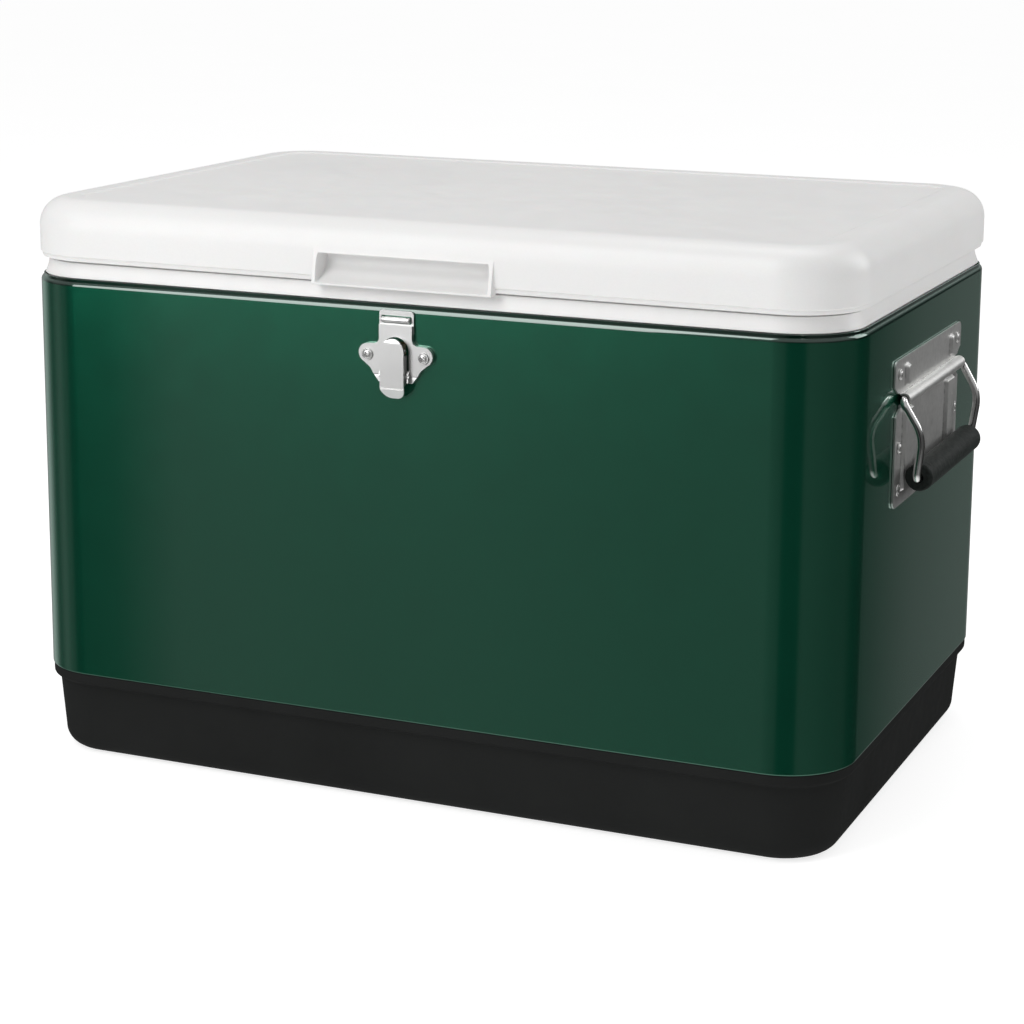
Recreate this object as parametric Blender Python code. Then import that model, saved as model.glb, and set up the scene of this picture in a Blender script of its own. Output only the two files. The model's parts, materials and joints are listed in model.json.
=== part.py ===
"""Steel-belted cooler: an insulated chest with a hinged lid, a sprung front latch and two bail handles.

Metres, +Z up. The origin is on the ground under the middle of the chest, +X runs along its length and
the latch side faces -Y. Lengths named "inset" are measured inward from the faces of the steel belt, and
lengths named "out" are measured outward from them.
"""

import math

import bmesh
import bpy
from mathutils import Matrix, Vector

# Chest
BELT_LENGTH = 0.610
BELT_DEPTH = 0.399
BELT_CORNER = 0.050
BELT_SHEET = 0.0010
BELT_ROLL = 0.0050
BELT_ROLL_ANGLE = 70
BASE_HEIGHT = 0.0635
BELT_HEIGHT = 0.2887
RIM_HEIGHT = 0.2998
LID_TOP = 0.3430
CORNER_STEPS = 6
GAP = 0.0003

# Inside of the chest
WALL = 0.0345
WELL_DRAFT = 0.0035
WELL_FLOOR = 0.070
WELL_CORNER = 0.040
WELL_FILLET = 0.018
LINER_SHEET = 0.0030

# Hinges on the back of the chest
HINGE_X = 0.190
HINGE_WIDTH = 0.060
HINGE_OUT = 0.0055
KNUCKLE_RADIUS = 0.0040
HINGE_PIN_RADIUS = 0.0020
LEAF_SHEET = 0.0015
HINGE_SCREW_X = 0.018

# Latch on the front of the chest, heights above the belt's lower edge
LATCH_X = -0.0035
LATCH_SCREW_X = 0.0206
LATCH_SCREW_Z = 0.2548
LEVER_WIDTH = 0.0176
LEVER_TOP = 0.2674
LEVER_BEND = 0.2336
LEVER_FOOT = 0.2264
LEVER_OUT = 0.0095
LEVER_SHEET = 0.0012
LEVER_PIVOT_OUT = 0.0050
LEVER_PIVOT_Z = 0.2415
LATCH_PIN_RADIUS = 0.0014
PLATE_OUT = 0.0035
TAB_OUT = 0.0016
STRIKER_INSET = 0.0100
STRIKER_SHEET = 0.0015
STRIKER_WIDTH = 0.0160
STRIKER_FOOT = 0.2510
HOOK_TIP_GAP = 0.0014

# Bail handles on the two ends, heights above the belt's lower edge
HANDLE_AXIS_OUT = 0.0043
HANDLE_AXIS_Z = 0.2290
WIRE_RADIUS = 0.00275
BARREL_RADIUS = 0.0044
BARREL_BORE = 0.0032
BARREL_HALF = 0.0760
HANDLE_SHEET = 0.0012
HANDLE_TOP = 0.2563
HANDLE_FOOT = 0.1550
HANDLE_HALF = 0.0896
GRIP_RADIUS = 0.0095
GRIP_HALF = 0.0700
GRIP_OUT = 0.0145
GRIP_Z = 0.1755
KNEE_OUT = 0.0183
KNEE_RADIUS = 0.0280
KNEE_Z = 0.2060

# Lid grip, a scoop in the front of the lid
SCOOP_HALF = 0.0625
SCOOP_WALL = 0.0035

# Drain at the left end
DRAIN_Z = 0.0790
DRAIN_TUBE_RADIUS = 0.0080
DRAIN_BORE_RADIUS = 0.0050
DRAIN_FLANGE_RADIUS = 0.0130

# Fasteners
SCREW_HEAD_RADIUS = 0.0040
SCREW_HEAD_HEIGHT = 0.0022
SCREW_SHANK_RADIUS = 0.0018
SCREW_SHANK = 0.0085
ROUND_STEPS = 8

HALF_LENGTH = BELT_LENGTH / 2
HALF_DEPTH = BELT_DEPTH / 2
BELT_TOP = BASE_HEIGHT + BELT_HEIGHT
RIM_TOP = BASE_HEIGHT + RIM_HEIGHT
TOTAL_HEIGHT = BASE_HEIGHT + LID_TOP
HINGE_AXIS = Vector((0, HALF_DEPTH + HINGE_OUT, RIM_TOP + GAP))
FRONT, BACK, RIGHT, LEFT = Vector((0, -1, 0)), Vector((0, 1, 0)), Vector((1, 0, 0)), Vector((-1, 0, 0))

holes = {}


# Materials

def principled(name, colour, roughness, metallic=0.0):
    material = bpy.data.materials.new(name)
    material.use_nodes = True
    shader = material.node_tree.nodes["Principled BSDF"]
    shader.inputs["Base Color"].default_value = (*colour, 1)
    shader.inputs["Roughness"].default_value = roughness
    shader.inputs["Metallic"].default_value = metallic
    material.diffuse_color = (*colour, 1)
    return material


def make_materials():
    return {
        "green_enamel": principled("green_enamel", (0.019, 0.065, 0.042), 0.25),
        "white_plastic": principled("white_plastic", (0.84, 0.84, 0.83), 0.38),
        "black_plastic": principled("black_plastic", (0.016, 0.017, 0.016), 0.50),
        "foam": principled("foam", (0.78, 0.70, 0.48), 0.90),
        "steel": principled("steel", (0.60, 0.60, 0.58), 0.22, 1.0),
        "black_rubber": principled("black_rubber", (0.018, 0.020, 0.018), 0.62),
    }


# Solids

def solid(name, vertices, faces, material, smooth_angle=35):
    """A named object from points in world coordinates, with its faces pointing out."""
    mesh = bpy.data.meshes.new(name)
    mesh.from_pydata([tuple(v) for v in vertices], [], faces)
    shape = bmesh.new()
    shape.from_mesh(mesh)
    bmesh.ops.remove_doubles(shape, verts=shape.verts, dist=1e-7)
    bmesh.ops.recalc_face_normals(shape, faces=shape.faces)
    shape.to_mesh(mesh)
    shape.free()
    mesh.shade_smooth()
    mesh.set_sharp_from_angle(angle=math.radians(smooth_angle))
    mesh.materials.append(material)
    piece = bpy.data.objects.new(name, mesh)
    bpy.context.scene.collection.objects.link(piece)
    return piece


def ring(inset, height, corner=None):
    """A rounded rectangle this far inside the belt's faces, as a list of points."""
    radius = max(BELT_CORNER - inset, 0.004) if corner is None else corner
    points = []
    for turn, (side_x, side_y) in enumerate(((1, 1), (-1, 1), (-1, -1), (1, -1))):
        centre_x = side_x * (HALF_LENGTH - inset - radius)
        centre_y = side_y * (HALF_DEPTH - inset - radius)
        for step in range(CORNER_STEPS + 1):
            angle = math.radians(90 * turn + 90 * step / CORNER_STEPS)
            x = centre_x + radius * math.cos(angle)
            y = centre_y + radius * math.sin(angle)
            points.append((x, y, height))
    return points


def well_ring(inset, height):
    """A ring whose corners stay at one distance from the corners of the well's mouth."""
    return ring(inset, height, WELL_CORNER + WALL - inset)


def stacked(name, rings, material, closed):
    """Rings joined in order. A closed stack is a hoop, an open one ends in two flat caps."""
    vertices = [point for one in rings for point in one]
    count = len(rings[0])
    faces = []
    steps = len(rings) if closed else len(rings) - 1
    for level in range(steps):
        lower = level * count
        upper = (level + 1) % len(rings) * count
        for i in range(count):
            j = (i + 1) % count
            faces.append((lower + i, lower + j, upper + j, upper + i))
    if not closed:
        faces.append(tuple(range(count)))
        faces.append(tuple((len(rings) - 1) * count + i for i in range(count)))
    return solid(name, vertices, faces, material)


def frame_of(direction):
    """Two unit vectors square to a direction."""
    other = Vector((0, 0, 1)) if abs(direction.z) < 0.9 else Vector((1, 0, 0))
    across = direction.cross(other).normalized()
    return across, across.cross(direction).normalized()


def turned(name, profile, base, direction, material, steps=ROUND_STEPS, hoop=False):
    """A solid of revolution. The profile lists (distance along the axis, radius)."""
    across, up = frame_of(direction)
    rings = []
    for along, radius in profile:
        centre = base + direction * along
        angles = [2 * math.pi * i / steps for i in range(steps)]
        rings.append([centre + radius * (across * math.cos(a) + up * math.sin(a)) for a in angles])
    return stacked(name, rings, material, hoop)


def swept(name, path, radius, material, sides=8, closed=False):
    """A round wire along a path of points, mitred at each of them."""
    count = len(path)
    rings = []
    side = None
    for i, point in enumerate(path):
        before = path[i - 1] if closed or i else point
        after = path[(i + 1) % count] if closed or i < count - 1 else point
        heading = (after - before).normalized()
        if side is None:
            side = frame_of(heading)[0]
        side = (side - heading * side.dot(heading)).normalized()
        up = heading.cross(side)
        angles = [2 * math.pi * k / sides for k in range(sides)]
        rings.append([point + radius * (side * math.cos(a) + up * math.sin(a)) for a in angles])
    return stacked(name, rings, material, closed)


def prism(name, outline, place, low, high, material):
    """An outline of (u, v) points pushed from low to high. place(u, v, depth) gives world points."""
    count = len(outline)
    vertices = [place(u, v, low) for u, v in outline] + [place(u, v, high) for u, v in outline]
    faces = [tuple(range(count)), tuple(range(count, 2 * count))]
    for i in range(count):
        j = (i + 1) % count
        faces.append((i, j, count + j, count + i))
    return solid(name, vertices, faces, material)


def on_latch(x, height, out):
    """Outline (x, height) from the latch's middle, depth outward from the front."""
    return (LATCH_X + x, -HALF_DEPTH - out, BASE_HEIGHT + height)


def latch_section(out, height, x):
    """Outline (out, height), depth along the length from the latch's middle."""
    return on_latch(x, height, out)


def on_back(x, height, out):
    return (x, HALF_DEPTH + out, height)


def front_section(out, height, x):
    return (x, -HALF_DEPTH - out, BASE_HEIGHT + height)


def back_section(out, height, x):
    return (x, HALF_DEPTH + out, height)


def end_face(side):
    """Outline (y, height), depth outward, on the right (+1) or left (-1) end."""
    return lambda y, height, out: (side * (HALF_LENGTH + out), y, BASE_HEIGHT + height)


def end_section(side):
    """Outline (out, height), depth along the chest's depth, on the right (+1) or left (-1) end."""
    return lambda out, height, y: (side * (HALF_LENGTH + out), y, BASE_HEIGHT + height)


def arc(centre_u, centre_v, radius, start, end, steps):
    angles = [math.radians(start + (end - start) * i / steps) for i in range(steps + 1)]
    return [(centre_u + radius * math.cos(a), centre_v + radius * math.sin(a)) for a in angles]


def box(u_low, u_high, v_low, v_high):
    return [(u_low, v_low), (u_high, v_low), (u_high, v_high), (u_low, v_high)]


def rounded_path(corners, radii, steps, closed):
    """A path through corners, each replaced by an arc of its radius."""
    path = []
    count = len(corners)
    for i, (corner, radius) in enumerate(zip(corners, radii)):
        if not closed and i in (0, count - 1):
            path.append(corner)
            continue
        back = (corners[i - 1] - corner).normalized()
        ahead = (corners[(i + 1) % count] - corner).normalized()
        half = back.angle(ahead) / 2
        reach = radius / math.tan(half)
        centre = corner + (back + ahead).normalized() * (radius / math.sin(half))
        start = corner + back * reach - centre
        turn = math.pi - 2 * half
        square = (start.cross(corner + ahead * reach - centre)).normalized()
        for step in range(steps + 1):
            path.append(centre + Matrix.Rotation(turn * step / steps, 3, square) @ start)
    return path


# Joining and cutting

def combine(piece, other, operation):
    cut = piece.modifiers.new(other.name, "BOOLEAN")
    cut.operation = operation
    cut.solver = "EXACT"
    cut.object = other
    other.hide_render = True
    other.display_type = "WIRE"


def subtract(piece, other):
    combine(piece, other, "DIFFERENCE")


def join(piece, other):
    combine(piece, other, "UNION")


def bore(pieces, base, direction, radius, length):
    """Note a round hole. All the holes of a piece are cut together at the end."""
    for piece in pieces:
        holes.setdefault(piece.name, []).append((base, direction, radius, length))


def cut_holes(material):
    for name, bores in holes.items():
        vertices = []
        faces = []
        for base, direction, radius, length in bores:
            across, up = frame_of(direction)
            reach = radius / math.cos(math.pi / ROUND_STEPS)
            first = len(vertices)
            for along in (0, length):
                for i in range(ROUND_STEPS):
                    angle = 2 * math.pi * i / ROUND_STEPS
                    spoke = reach * (across * math.cos(angle) + up * math.sin(angle))
                    vertices.append(base + direction * along + spoke)
            faces.append(tuple(range(first, first + ROUND_STEPS)))
            faces.append(tuple(range(first + ROUND_STEPS, first + 2 * ROUND_STEPS)))
            for i in range(ROUND_STEPS):
                j = (i + 1) % ROUND_STEPS
                faces.append((first + i, first + j, first + ROUND_STEPS + j, first + ROUND_STEPS + i))
        subtract(bpy.data.objects[name], solid(name + "_bores", vertices, faces, material))


def screw(name, seat, direction, through, material):
    """A pan-head screw whose head rests just off its seat, with holes in the pieces it passes."""
    head = SCREW_HEAD_HEIGHT
    profile = [
        (-SCREW_SHANK, SCREW_SHANK_RADIUS * 0.5),
        (-SCREW_SHANK + 0.0015, SCREW_SHANK_RADIUS),
        (GAP, SCREW_SHANK_RADIUS),
        (GAP, SCREW_HEAD_RADIUS),
        (GAP + head * 0.45, SCREW_HEAD_RADIUS * 0.97),
        (GAP + head * 0.85, SCREW_HEAD_RADIUS * 0.70),
        (GAP + head, SCREW_HEAD_RADIUS * 0.30),
    ]
    piece = turned(name, profile, seat, direction, material)
    hole_start = seat - direction * (SCREW_SHANK + GAP)
    bore(through, hole_start, direction, SCREW_SHANK_RADIUS + 0.0004, SCREW_SHANK + 0.002)
    return piece


def hang_on(axis_name, location, pieces):
    """An empty on a joint's axis that carries the pieces which turn or slide with it."""
    axis = bpy.data.objects.new(axis_name, None)
    axis.location = location
    bpy.context.scene.collection.objects.link(axis)
    for piece in pieces:
        piece.parent = axis
        piece.location = -Vector(location)


# Chest

def make_base_pan(paint):
    """A moulded pan: a stepped lip, drafted walls, and a spigot that the belt slips over."""
    outer = [ring(0.060, 0), ring(0.0225, 0)]
    outer += [ring(0.0225 - 0.014 * math.sin(math.radians(a)), 0.014 - 0.014 * math.cos(math.radians(a)))
              for a in (22.5, 45, 67.5)]
    outer += [ring(0.0085, 0.014), ring(0.0052, 0.0540), ring(0.0012, 0.0565), ring(0.0008, 0.0580)]
    outer += [ring(0.0008, BASE_HEIGHT), ring(0.0014, BASE_HEIGHT), ring(0.0014, 0.0750)]
    inner = [ring(0.0040, 0.0750), ring(0.0042, 0.0600), ring(0.0082, 0.0540), ring(0.0115, 0.0140)]
    inner += [ring(0.0225 - 0.011 * math.sin(math.radians(a)), 0.014 - 0.011 * math.cos(math.radians(a)))
              for a in (60, 30)]
    inner += [ring(0.0225, 0.0030), ring(0.060, 0.0030)]
    return stacked("base_pan", outer + inner, paint["black_plastic"], False)


def make_belt(paint):
    """The painted sheet round the chest, rolled inward along its top edge."""
    rolled = range(0, BELT_ROLL_ANGLE + 1, 14)
    roll_z = BELT_TOP - BELT_ROLL * math.sin(math.radians(BELT_ROLL_ANGLE))
    rings = [ring(0, BASE_HEIGHT + GAP)]
    for a in rolled:
        c, s = math.cos(math.radians(a)), math.sin(math.radians(a))
        rings.append(ring(BELT_ROLL * (1 - c), roll_z + BELT_ROLL * s))
    for a in reversed(rolled):
        c, s = math.cos(math.radians(a)), math.sin(math.radians(a))
        inside = BELT_ROLL - BELT_SHEET
        rings.append(ring(BELT_ROLL - inside * c, roll_z + inside * s))
    rings.append(ring(BELT_SHEET, BASE_HEIGHT + GAP))
    return stacked("steel_belt", rings, paint["green_enamel"], True)


def make_liner(paint):
    """The white tub with its rim, which turns out over the foam and down behind the belt."""
    out = LINER_SHEET
    low = WALL + WELL_DRAFT
    bottom = WELL_FLOOR - out
    fillet = WELL_FILLET
    rings = [ring(0.110, bottom, 0.030), ring(low + fillet, bottom, WELL_CORNER - fillet)]
    for a in (30, 60, 90):
        c, s = math.cos(math.radians(a)), math.sin(math.radians(a))
        reach = fillet + out
        inset = low + fillet - reach * s
        rings.append(ring(inset, WELL_FLOOR + fillet - reach * c, WELL_CORNER))
    rim_under = RIM_TOP - out
    rings += [ring(WALL - out, rim_under, WELL_CORNER), ring(0.0100, rim_under)]
    rings += [ring(0.0082, BELT_TOP - 0.0075), ring(0.0053, BELT_TOP - 0.0075)]
    rings += [ring(0.0053, BELT_TOP + GAP), ring(0.0033, BELT_TOP + GAP)]
    rings += [ring(0.0040, BELT_TOP + 0.0025), ring(0.0052, BELT_TOP + 0.0060)]
    rings += [ring(0.0062, RIM_TOP - 0.0012), ring(0.0072, RIM_TOP)]
    rings += [ring(WALL - 0.0040, RIM_TOP, WELL_CORNER), ring(WALL - 0.0012, RIM_TOP - 0.0012, WELL_CORNER)]
    rings += [ring(WALL, RIM_TOP - 0.0040, WELL_CORNER)]
    for a in (90, 60, 30, 0):
        c, s = math.cos(math.radians(a)), math.sin(math.radians(a))
        corner = WELL_CORNER - fillet * (1 - s)
        rings.append(ring(low + fillet * (1 - s), WELL_FLOOR + fillet * (1 - c), corner))
    rings.append(ring(0.110, WELL_FLOOR, 0.030))
    return stacked("inner_liner", rings, paint["white_plastic"], False)


def make_foam(paint):
    """Insulation that fills the space between the pan, the belt and the liner."""
    low = WALL + WELL_DRAFT
    out = LINER_SHEET + GAP
    step_z = BELT_TOP - 0.0078
    rings = [ring(0.060, 0.0030 + GAP), ring(0.0230, 0.0030 + GAP), ring(0.0150, 0.0075)]
    rings += [ring(0.0120, 0.0145), ring(0.0086, 0.0540), ring(0.0046, 0.0602), ring(0.0044, 0.0753)]
    rings += [ring(0.0014, 0.0753), ring(0.0014, BELT_TOP - 0.0090), ring(0.0056, BELT_TOP - 0.0090)]
    rings += [ring(0.0086, step_z), ring(0.0104, RIM_TOP - out)]
    rings += [ring(WALL - out, RIM_TOP - out, WELL_CORNER)]
    for a in (90, 60, 30, 0):
        c, s = math.cos(math.radians(a)), math.sin(math.radians(a))
        reach = WELL_FILLET + out
        inset = low + WELL_FILLET - reach * s
        corner = WELL_CORNER if a else WELL_CORNER - WELL_FILLET
        rings.append(ring(inset, WELL_FLOOR + WELL_FILLET - reach * c - GAP, corner))
    rings.append(ring(0.110, WELL_FLOOR - out - GAP, 0.030))
    return stacked("foam_body", rings, paint["foam"], False)


def make_belt_seam(paint):
    """The lapped seam of the belt, up the middle of the back."""
    outline = box(-0.009, 0.009, BASE_HEIGHT + 0.001, BELT_TOP - 0.0062)
    return prism("belt_seam", outline, on_back, GAP, 0.0012, paint["green_enamel"])


# Lid

def make_lid_shell(paint):
    """The outer shell of the lid, with the scoop of the front grip formed in it."""
    top = TOTAL_HEIGHT
    sheet = LINER_SHEET
    edge = 0.020
    rings = [ring(0.110, top - 0.0008, 0.030), ring(0.0330, top - 0.0008), ring(0.0300, top)]
    for a in range(0, 91, 15):
        c, s = math.cos(math.radians(a)), math.sin(math.radians(a))
        rings.append(ring(edge * (1 - s), top - edge * (1 - c)))
    skirt = RIM_TOP + 0.0020
    rings += [ring(0.0004, skirt + 0.0070), ring(0.0020, skirt + 0.0028), ring(0.0050, skirt)]
    rings += [ring(0.0080, skirt), ring(0.0050, skirt + 0.0035), ring(0.0034, skirt + 0.0075)]
    for a in (90, 60, 30, 0):
        c, s = math.cos(math.radians(a)), math.sin(math.radians(a))
        reach = edge - sheet
        rings.append(ring(edge - reach * s, top - edge + reach * c))
    rings += [ring(0.0300, top - sheet), ring(0.110, top - sheet, 0.030)]
    shell = stacked("lid_shell", rings, paint["white_plastic"], False)
    back = 0.0155
    outline = [(0.0000, 0.3235), (0.0040, 0.3010), (0.0040, 0.2990), (-0.0024, 0.2990), (-0.0024, 0.3022)]
    outline += [(-0.0062, 0.3028), (-0.0118, 0.3070), (-back, 0.3130), (-back, 0.3235)]
    half = SCOOP_HALF + SCOOP_WALL
    join(shell, prism("grip_block", outline, front_section, -half, half, paint["white_plastic"]))
    hollow = [(0.0090, 0.3200), (-0.0120, 0.3200), (-0.0120, 0.3135), (-0.0088, 0.3080)]
    hollow += [(-0.0042, 0.3042), (0.0018, 0.3012), (0.0026, 0.3000), (0.0090, 0.3000)]
    cutter = prism("grip_hollow", hollow, front_section, -SCOOP_HALF, SCOOP_HALF, paint["white_plastic"])
    subtract(shell, cutter)
    return shell


def make_lid_liner(paint):
    """The inner skin of the lid: an edge strip on the rim and a shallow plug that enters the well."""
    low = RIM_TOP + GAP
    rings = [ring(0.110, 0.3500, 0.030), well_ring(0.0400, 0.3500), well_ring(0.0376, 0.3545)]
    rings += [well_ring(0.0362, low), ring(0.0062, low), ring(0.0062, low + 0.0014)]
    rings += [well_ring(0.0382, low + 0.0014), well_ring(0.0396, 0.3560)]
    rings += [well_ring(0.0422, 0.3525), ring(0.110, 0.3525, 0.030)]
    return stacked("lid_liner", rings, paint["white_plastic"], False)


def make_lid_foam(paint):
    """Insulation inside the lid, notched for the front grip and the striker's foot."""
    top = TOTAL_HEIGHT - LINER_SHEET - GAP
    edge = 0.020
    rings = [ring(0.110, 0.3528, 0.030), well_ring(0.0426, 0.3528), well_ring(0.0400, 0.3564)]
    rings += [well_ring(0.0386, RIM_TOP + 0.0020), ring(0.0090, RIM_TOP + 0.0020)]
    rings += [ring(0.0060, RIM_TOP + 0.0058), ring(0.0040, RIM_TOP + 0.0100)]
    for a in (90, 60, 30, 0):
        c, s = math.cos(math.radians(a)), math.sin(math.radians(a))
        reach = edge - LINER_SHEET - 2 * GAP
        rings.append(ring(edge - reach * s, TOTAL_HEIGHT - edge + reach * c))
    rings.append(ring(0.110, top - GAP, 0.030))
    foam = stacked("lid_foam", rings, paint["foam"], False)
    half = SCOOP_HALF + SCOOP_WALL + GAP
    notch = box(-0.0158, 0.0100, RIM_HEIGHT - 0.005, 0.3240)
    subtract(foam, prism("foam_grip_notch", notch, front_section, -half, half, paint["foam"]))
    notch = box(-0.0290, -0.0100, RIM_HEIGHT - 0.005, 0.3040)
    subtract(foam, prism("foam_striker_notch", notch, latch_section, -0.0090, 0.0090, paint["foam"]))
    return foam


def make_striker(paint):
    """A flat steel tongue under the lid. Its foot lies on the lid liner, and its eye takes the hook."""
    front = -STRIKER_INSET
    back = front - STRIKER_SHEET
    foot_z = RIM_HEIGHT + 0.0021
    outline = [(front, STRIKER_FOOT), (front, foot_z + STRIKER_SHEET), (-0.0280, foot_z + STRIKER_SHEET)]
    outline += [(-0.0280, foot_z), (back, foot_z), (back, STRIKER_FOOT)]
    half = STRIKER_WIDTH / 2
    tongue = prism("lid_striker", outline, latch_section, -half, half, paint["steel"])
    eye = box(-0.0050, 0.0050, 0.2570, 0.2650)
    subtract(tongue, prism("striker_eye", eye, on_latch, back - 0.002, front + 0.002, paint["steel"]))
    return tongue


def make_striker_way(paint, liner, foam, lid_liner):
    """The slots that let the striker down through the lid liner and the rim, and its pocket in the foam."""
    front = -STRIKER_INSET
    slot = box(front - STRIKER_SHEET - GAP, front + GAP, RIM_HEIGHT - 0.004, RIM_HEIGHT + 0.006)
    half = STRIKER_WIDTH / 2
    subtract(lid_liner, prism("striker_slot", slot, latch_section, -half - GAP, half + GAP, paint["steel"]))
    pocket = box(-0.0135, -0.0068, STRIKER_FOOT - 0.005, RIM_HEIGHT + 0.004)
    cutter = prism("striker_pocket", pocket, latch_section, -half - 0.0015, half + 0.0015, paint["steel"])
    subtract(liner, cutter)
    subtract(foam, cutter)


# Hinges

def make_hinges(paint, belt, foam, shell, lid_foam):
    """Two butt hinges. Each body leaf has two knuckles and each lid leaf has one between them."""
    lid_pieces = []
    steel = paint["steel"]
    sides = {"left": -1, "right": 1}
    for label, side in sides.items():
        middle = side * HINGE_X
        body_leaf = make_leaf("hinge_body_leaf_" + label, middle, 0.3270, 0.3575, steel)
        lid_leaf = make_leaf("hinge_lid_leaf_" + label, middle, 0.3870, 0.3715, steel)
        for leaf, spans in ((body_leaf, (-1, 1)), (lid_leaf, (0,))):
            width = HINGE_WIDTH / 3 - 2 * GAP
            for span in spans:
                centre = middle + span * HINGE_WIDTH / 3
                add_knuckle(leaf, centre, width, steel)
        pin_start = Vector((middle - HINGE_WIDTH / 2 - 0.001, HINGE_AXIS.y, HINGE_AXIS.z))
        reach = HINGE_WIDTH + 0.002
        head = HINGE_PIN_RADIUS + 0.0008
        profile = [(-0.0014, head * 0.7), (-0.0008, head), (0, head), (0, HINGE_PIN_RADIUS)]
        profile += [(reach, HINGE_PIN_RADIUS), (reach, head), (reach + 0.0008, head), (reach + 0.0014, head * 0.7)]
        turned("hinge_pin_" + label, profile, pin_start, RIGHT, steel)
        bore((body_leaf, lid_leaf), pin_start - RIGHT * 0.005, RIGHT, HINGE_PIN_RADIUS + GAP, reach + 0.01)
        for step in (-1, 1):
            x = middle + step * HINGE_SCREW_X
            name = label + ("_1" if step < 0 else "_2")
            out = GAP + LEAF_SHEET
            seat = Vector((x, HALF_DEPTH + out, 0.3350))
            screw("hinge_body_screw_" + name, seat, BACK, (body_leaf, belt, foam), steel)
            seat = Vector((x, HALF_DEPTH + out, 0.3810))
            lid_pieces.append(screw("hinge_lid_screw_" + name, seat, BACK, (lid_leaf, shell, lid_foam), steel))
        lid_pieces.append(lid_leaf)
    return lid_pieces


def make_leaf(name, middle, far, near, material):
    """A leaf against the back, from its far edge to the near edge beside the knuckles."""
    half = HINGE_WIDTH / 2 - GAP
    outline = [(middle - half, near), (middle + half, near), (middle + half, far), (middle - half, far)]
    return prism(name, outline, on_back, GAP, GAP + LEAF_SHEET, material)


def add_knuckle(leaf, centre, width, material):
    """One knuckle round the hinge axis, with the curl that carries it from the leaf."""
    towards = 1 if leaf.name.startswith("hinge_lid") else -1
    axis_z = HINGE_AXIS.z
    edge_z = 0.3720 if towards > 0 else 0.3570
    knuckle = arc(HINGE_OUT, axis_z, KNUCKLE_RADIUS, 0, 330, 11)
    label = leaf.name + "_knuckle_" + str(round(centre * 1000))
    barrel = prism(label, knuckle, back_section, centre - width / 2, centre + width / 2, material)
    web = [(GAP, edge_z), (GAP + LEAF_SHEET, edge_z), (HINGE_OUT - 0.0010, axis_z + towards * 0.0036)]
    web += [(HINGE_OUT - 0.0032, axis_z + towards * 0.0020)]
    web_name = label + "_curl"
    curl = prism(web_name, web, back_section, centre - width / 2, centre + width / 2, material)
    join(leaf, curl)
    join(leaf, barrel)


# Latch

def latch_outline(shrink):
    """Half of the ears and neck of the latch plate, drawn for x above zero, in order from the top."""
    neck = 0.0121 - shrink
    ear = 0.0065 - shrink
    hollow = 0.0040 + shrink
    points = [(neck, 0.2757 - shrink)]
    points += arc(0.0121 + 0.0040, 0.2625 + 0.0040, hollow, 180, 270, 4)
    points += arc(LATCH_SCREW_X, LATCH_SCREW_Z + 0.0010, ear, 80, -50, 6)
    points += [(0.0185 - shrink, 0.2464 + shrink), (0.0125 - shrink, 0.2372 + shrink)]
    return points


def mirrored(half):
    return half + [(-x, z) for x, z in reversed(half)]


def make_latch(paint, belt, foam):
    """A pressed cover plate with a sprung lever in it, whose hook reaches in to the striker's eye."""
    steel = paint["steel"]
    plate = prism("latch_plate", mirrored(latch_outline(0)), on_latch, GAP, PLATE_OUT, steel)
    tab_half = arc(0.0101, 0.2827, 0.0025, 90, 0, 4) + [(0.0126, 0.2700)]
    join(plate, prism("latch_tab", mirrored(tab_half), on_latch, GAP, TAB_OUT, steel))
    pocket = prism("latch_pocket", mirrored(latch_outline(0.0012)), on_latch, -0.001, PLATE_OUT - 0.0012, steel)
    subtract(plate, pocket)
    slot_half = arc(0, 0.2580, LEVER_WIDTH / 2 + 0.0010, 90, 0, 6) + [(LEVER_WIDTH / 2 + 0.0010, 0.2300)]
    slot = mirrored(slot_half[1:])
    subtract(plate, prism("lever_slot", slot, on_latch, -0.002, 0.006, steel))
    window = box(-0.0112, 0.0112, 0.2765, 0.2818)
    subtract(plate, prism("tab_window", window, on_latch, -0.002, 0.006, steel))
    for side in (-1, 1):
        low = side * (LEVER_WIDTH / 2 + 0.0006)
        cheek = box(GAP, 0.0068, 0.2378, 0.2455)
        cheek[2] = (0.0050, 0.2455)
        name = "pivot_cheek_left" if side < 0 else "pivot_cheek_right"
        join(plate, prism(name, cheek, latch_section, low, low + side * 0.0014, steel))
    pin_half = LEVER_WIDTH / 2 + 0.0026
    pin_at = Vector(on_latch(-pin_half, LEVER_PIVOT_Z, LEVER_PIVOT_OUT))
    turned("latch_pin", [(0, LATCH_PIN_RADIUS), (2 * pin_half, LATCH_PIN_RADIUS)], pin_at, RIGHT, steel)
    lever = make_lever(steel)
    bore((plate, lever), pin_at - RIGHT * 0.002, RIGHT, LATCH_PIN_RADIUS + GAP, 2 * pin_half + 0.004)
    roll_at = Vector(on_latch(-0.0106, 0.2790, 0.0024))
    roll = [(0, 0.0012), (0.0006, 0.0020), (0.0206, 0.0020), (0.0212, 0.0012)]
    turned("latch_guide_roll", roll, roll_at, RIGHT, steel)
    make_latch_spring(steel)
    window = box(-0.0062, 0.0062, 0.2560, 0.2645)
    belt_window = prism("hook_window", window, on_latch, -0.0080, 0.0010, steel)
    subtract(belt, belt_window)
    subtract(foam, belt_window)
    for side in (-1, 1):
        seat = Vector(on_latch(side * LATCH_SCREW_X, LATCH_SCREW_Z, PLATE_OUT))
        name = "latch_screw_left" if side < 0 else "latch_screw_right"
        screw(name, seat, FRONT, (plate, belt, foam), steel)
    return lever


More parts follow.
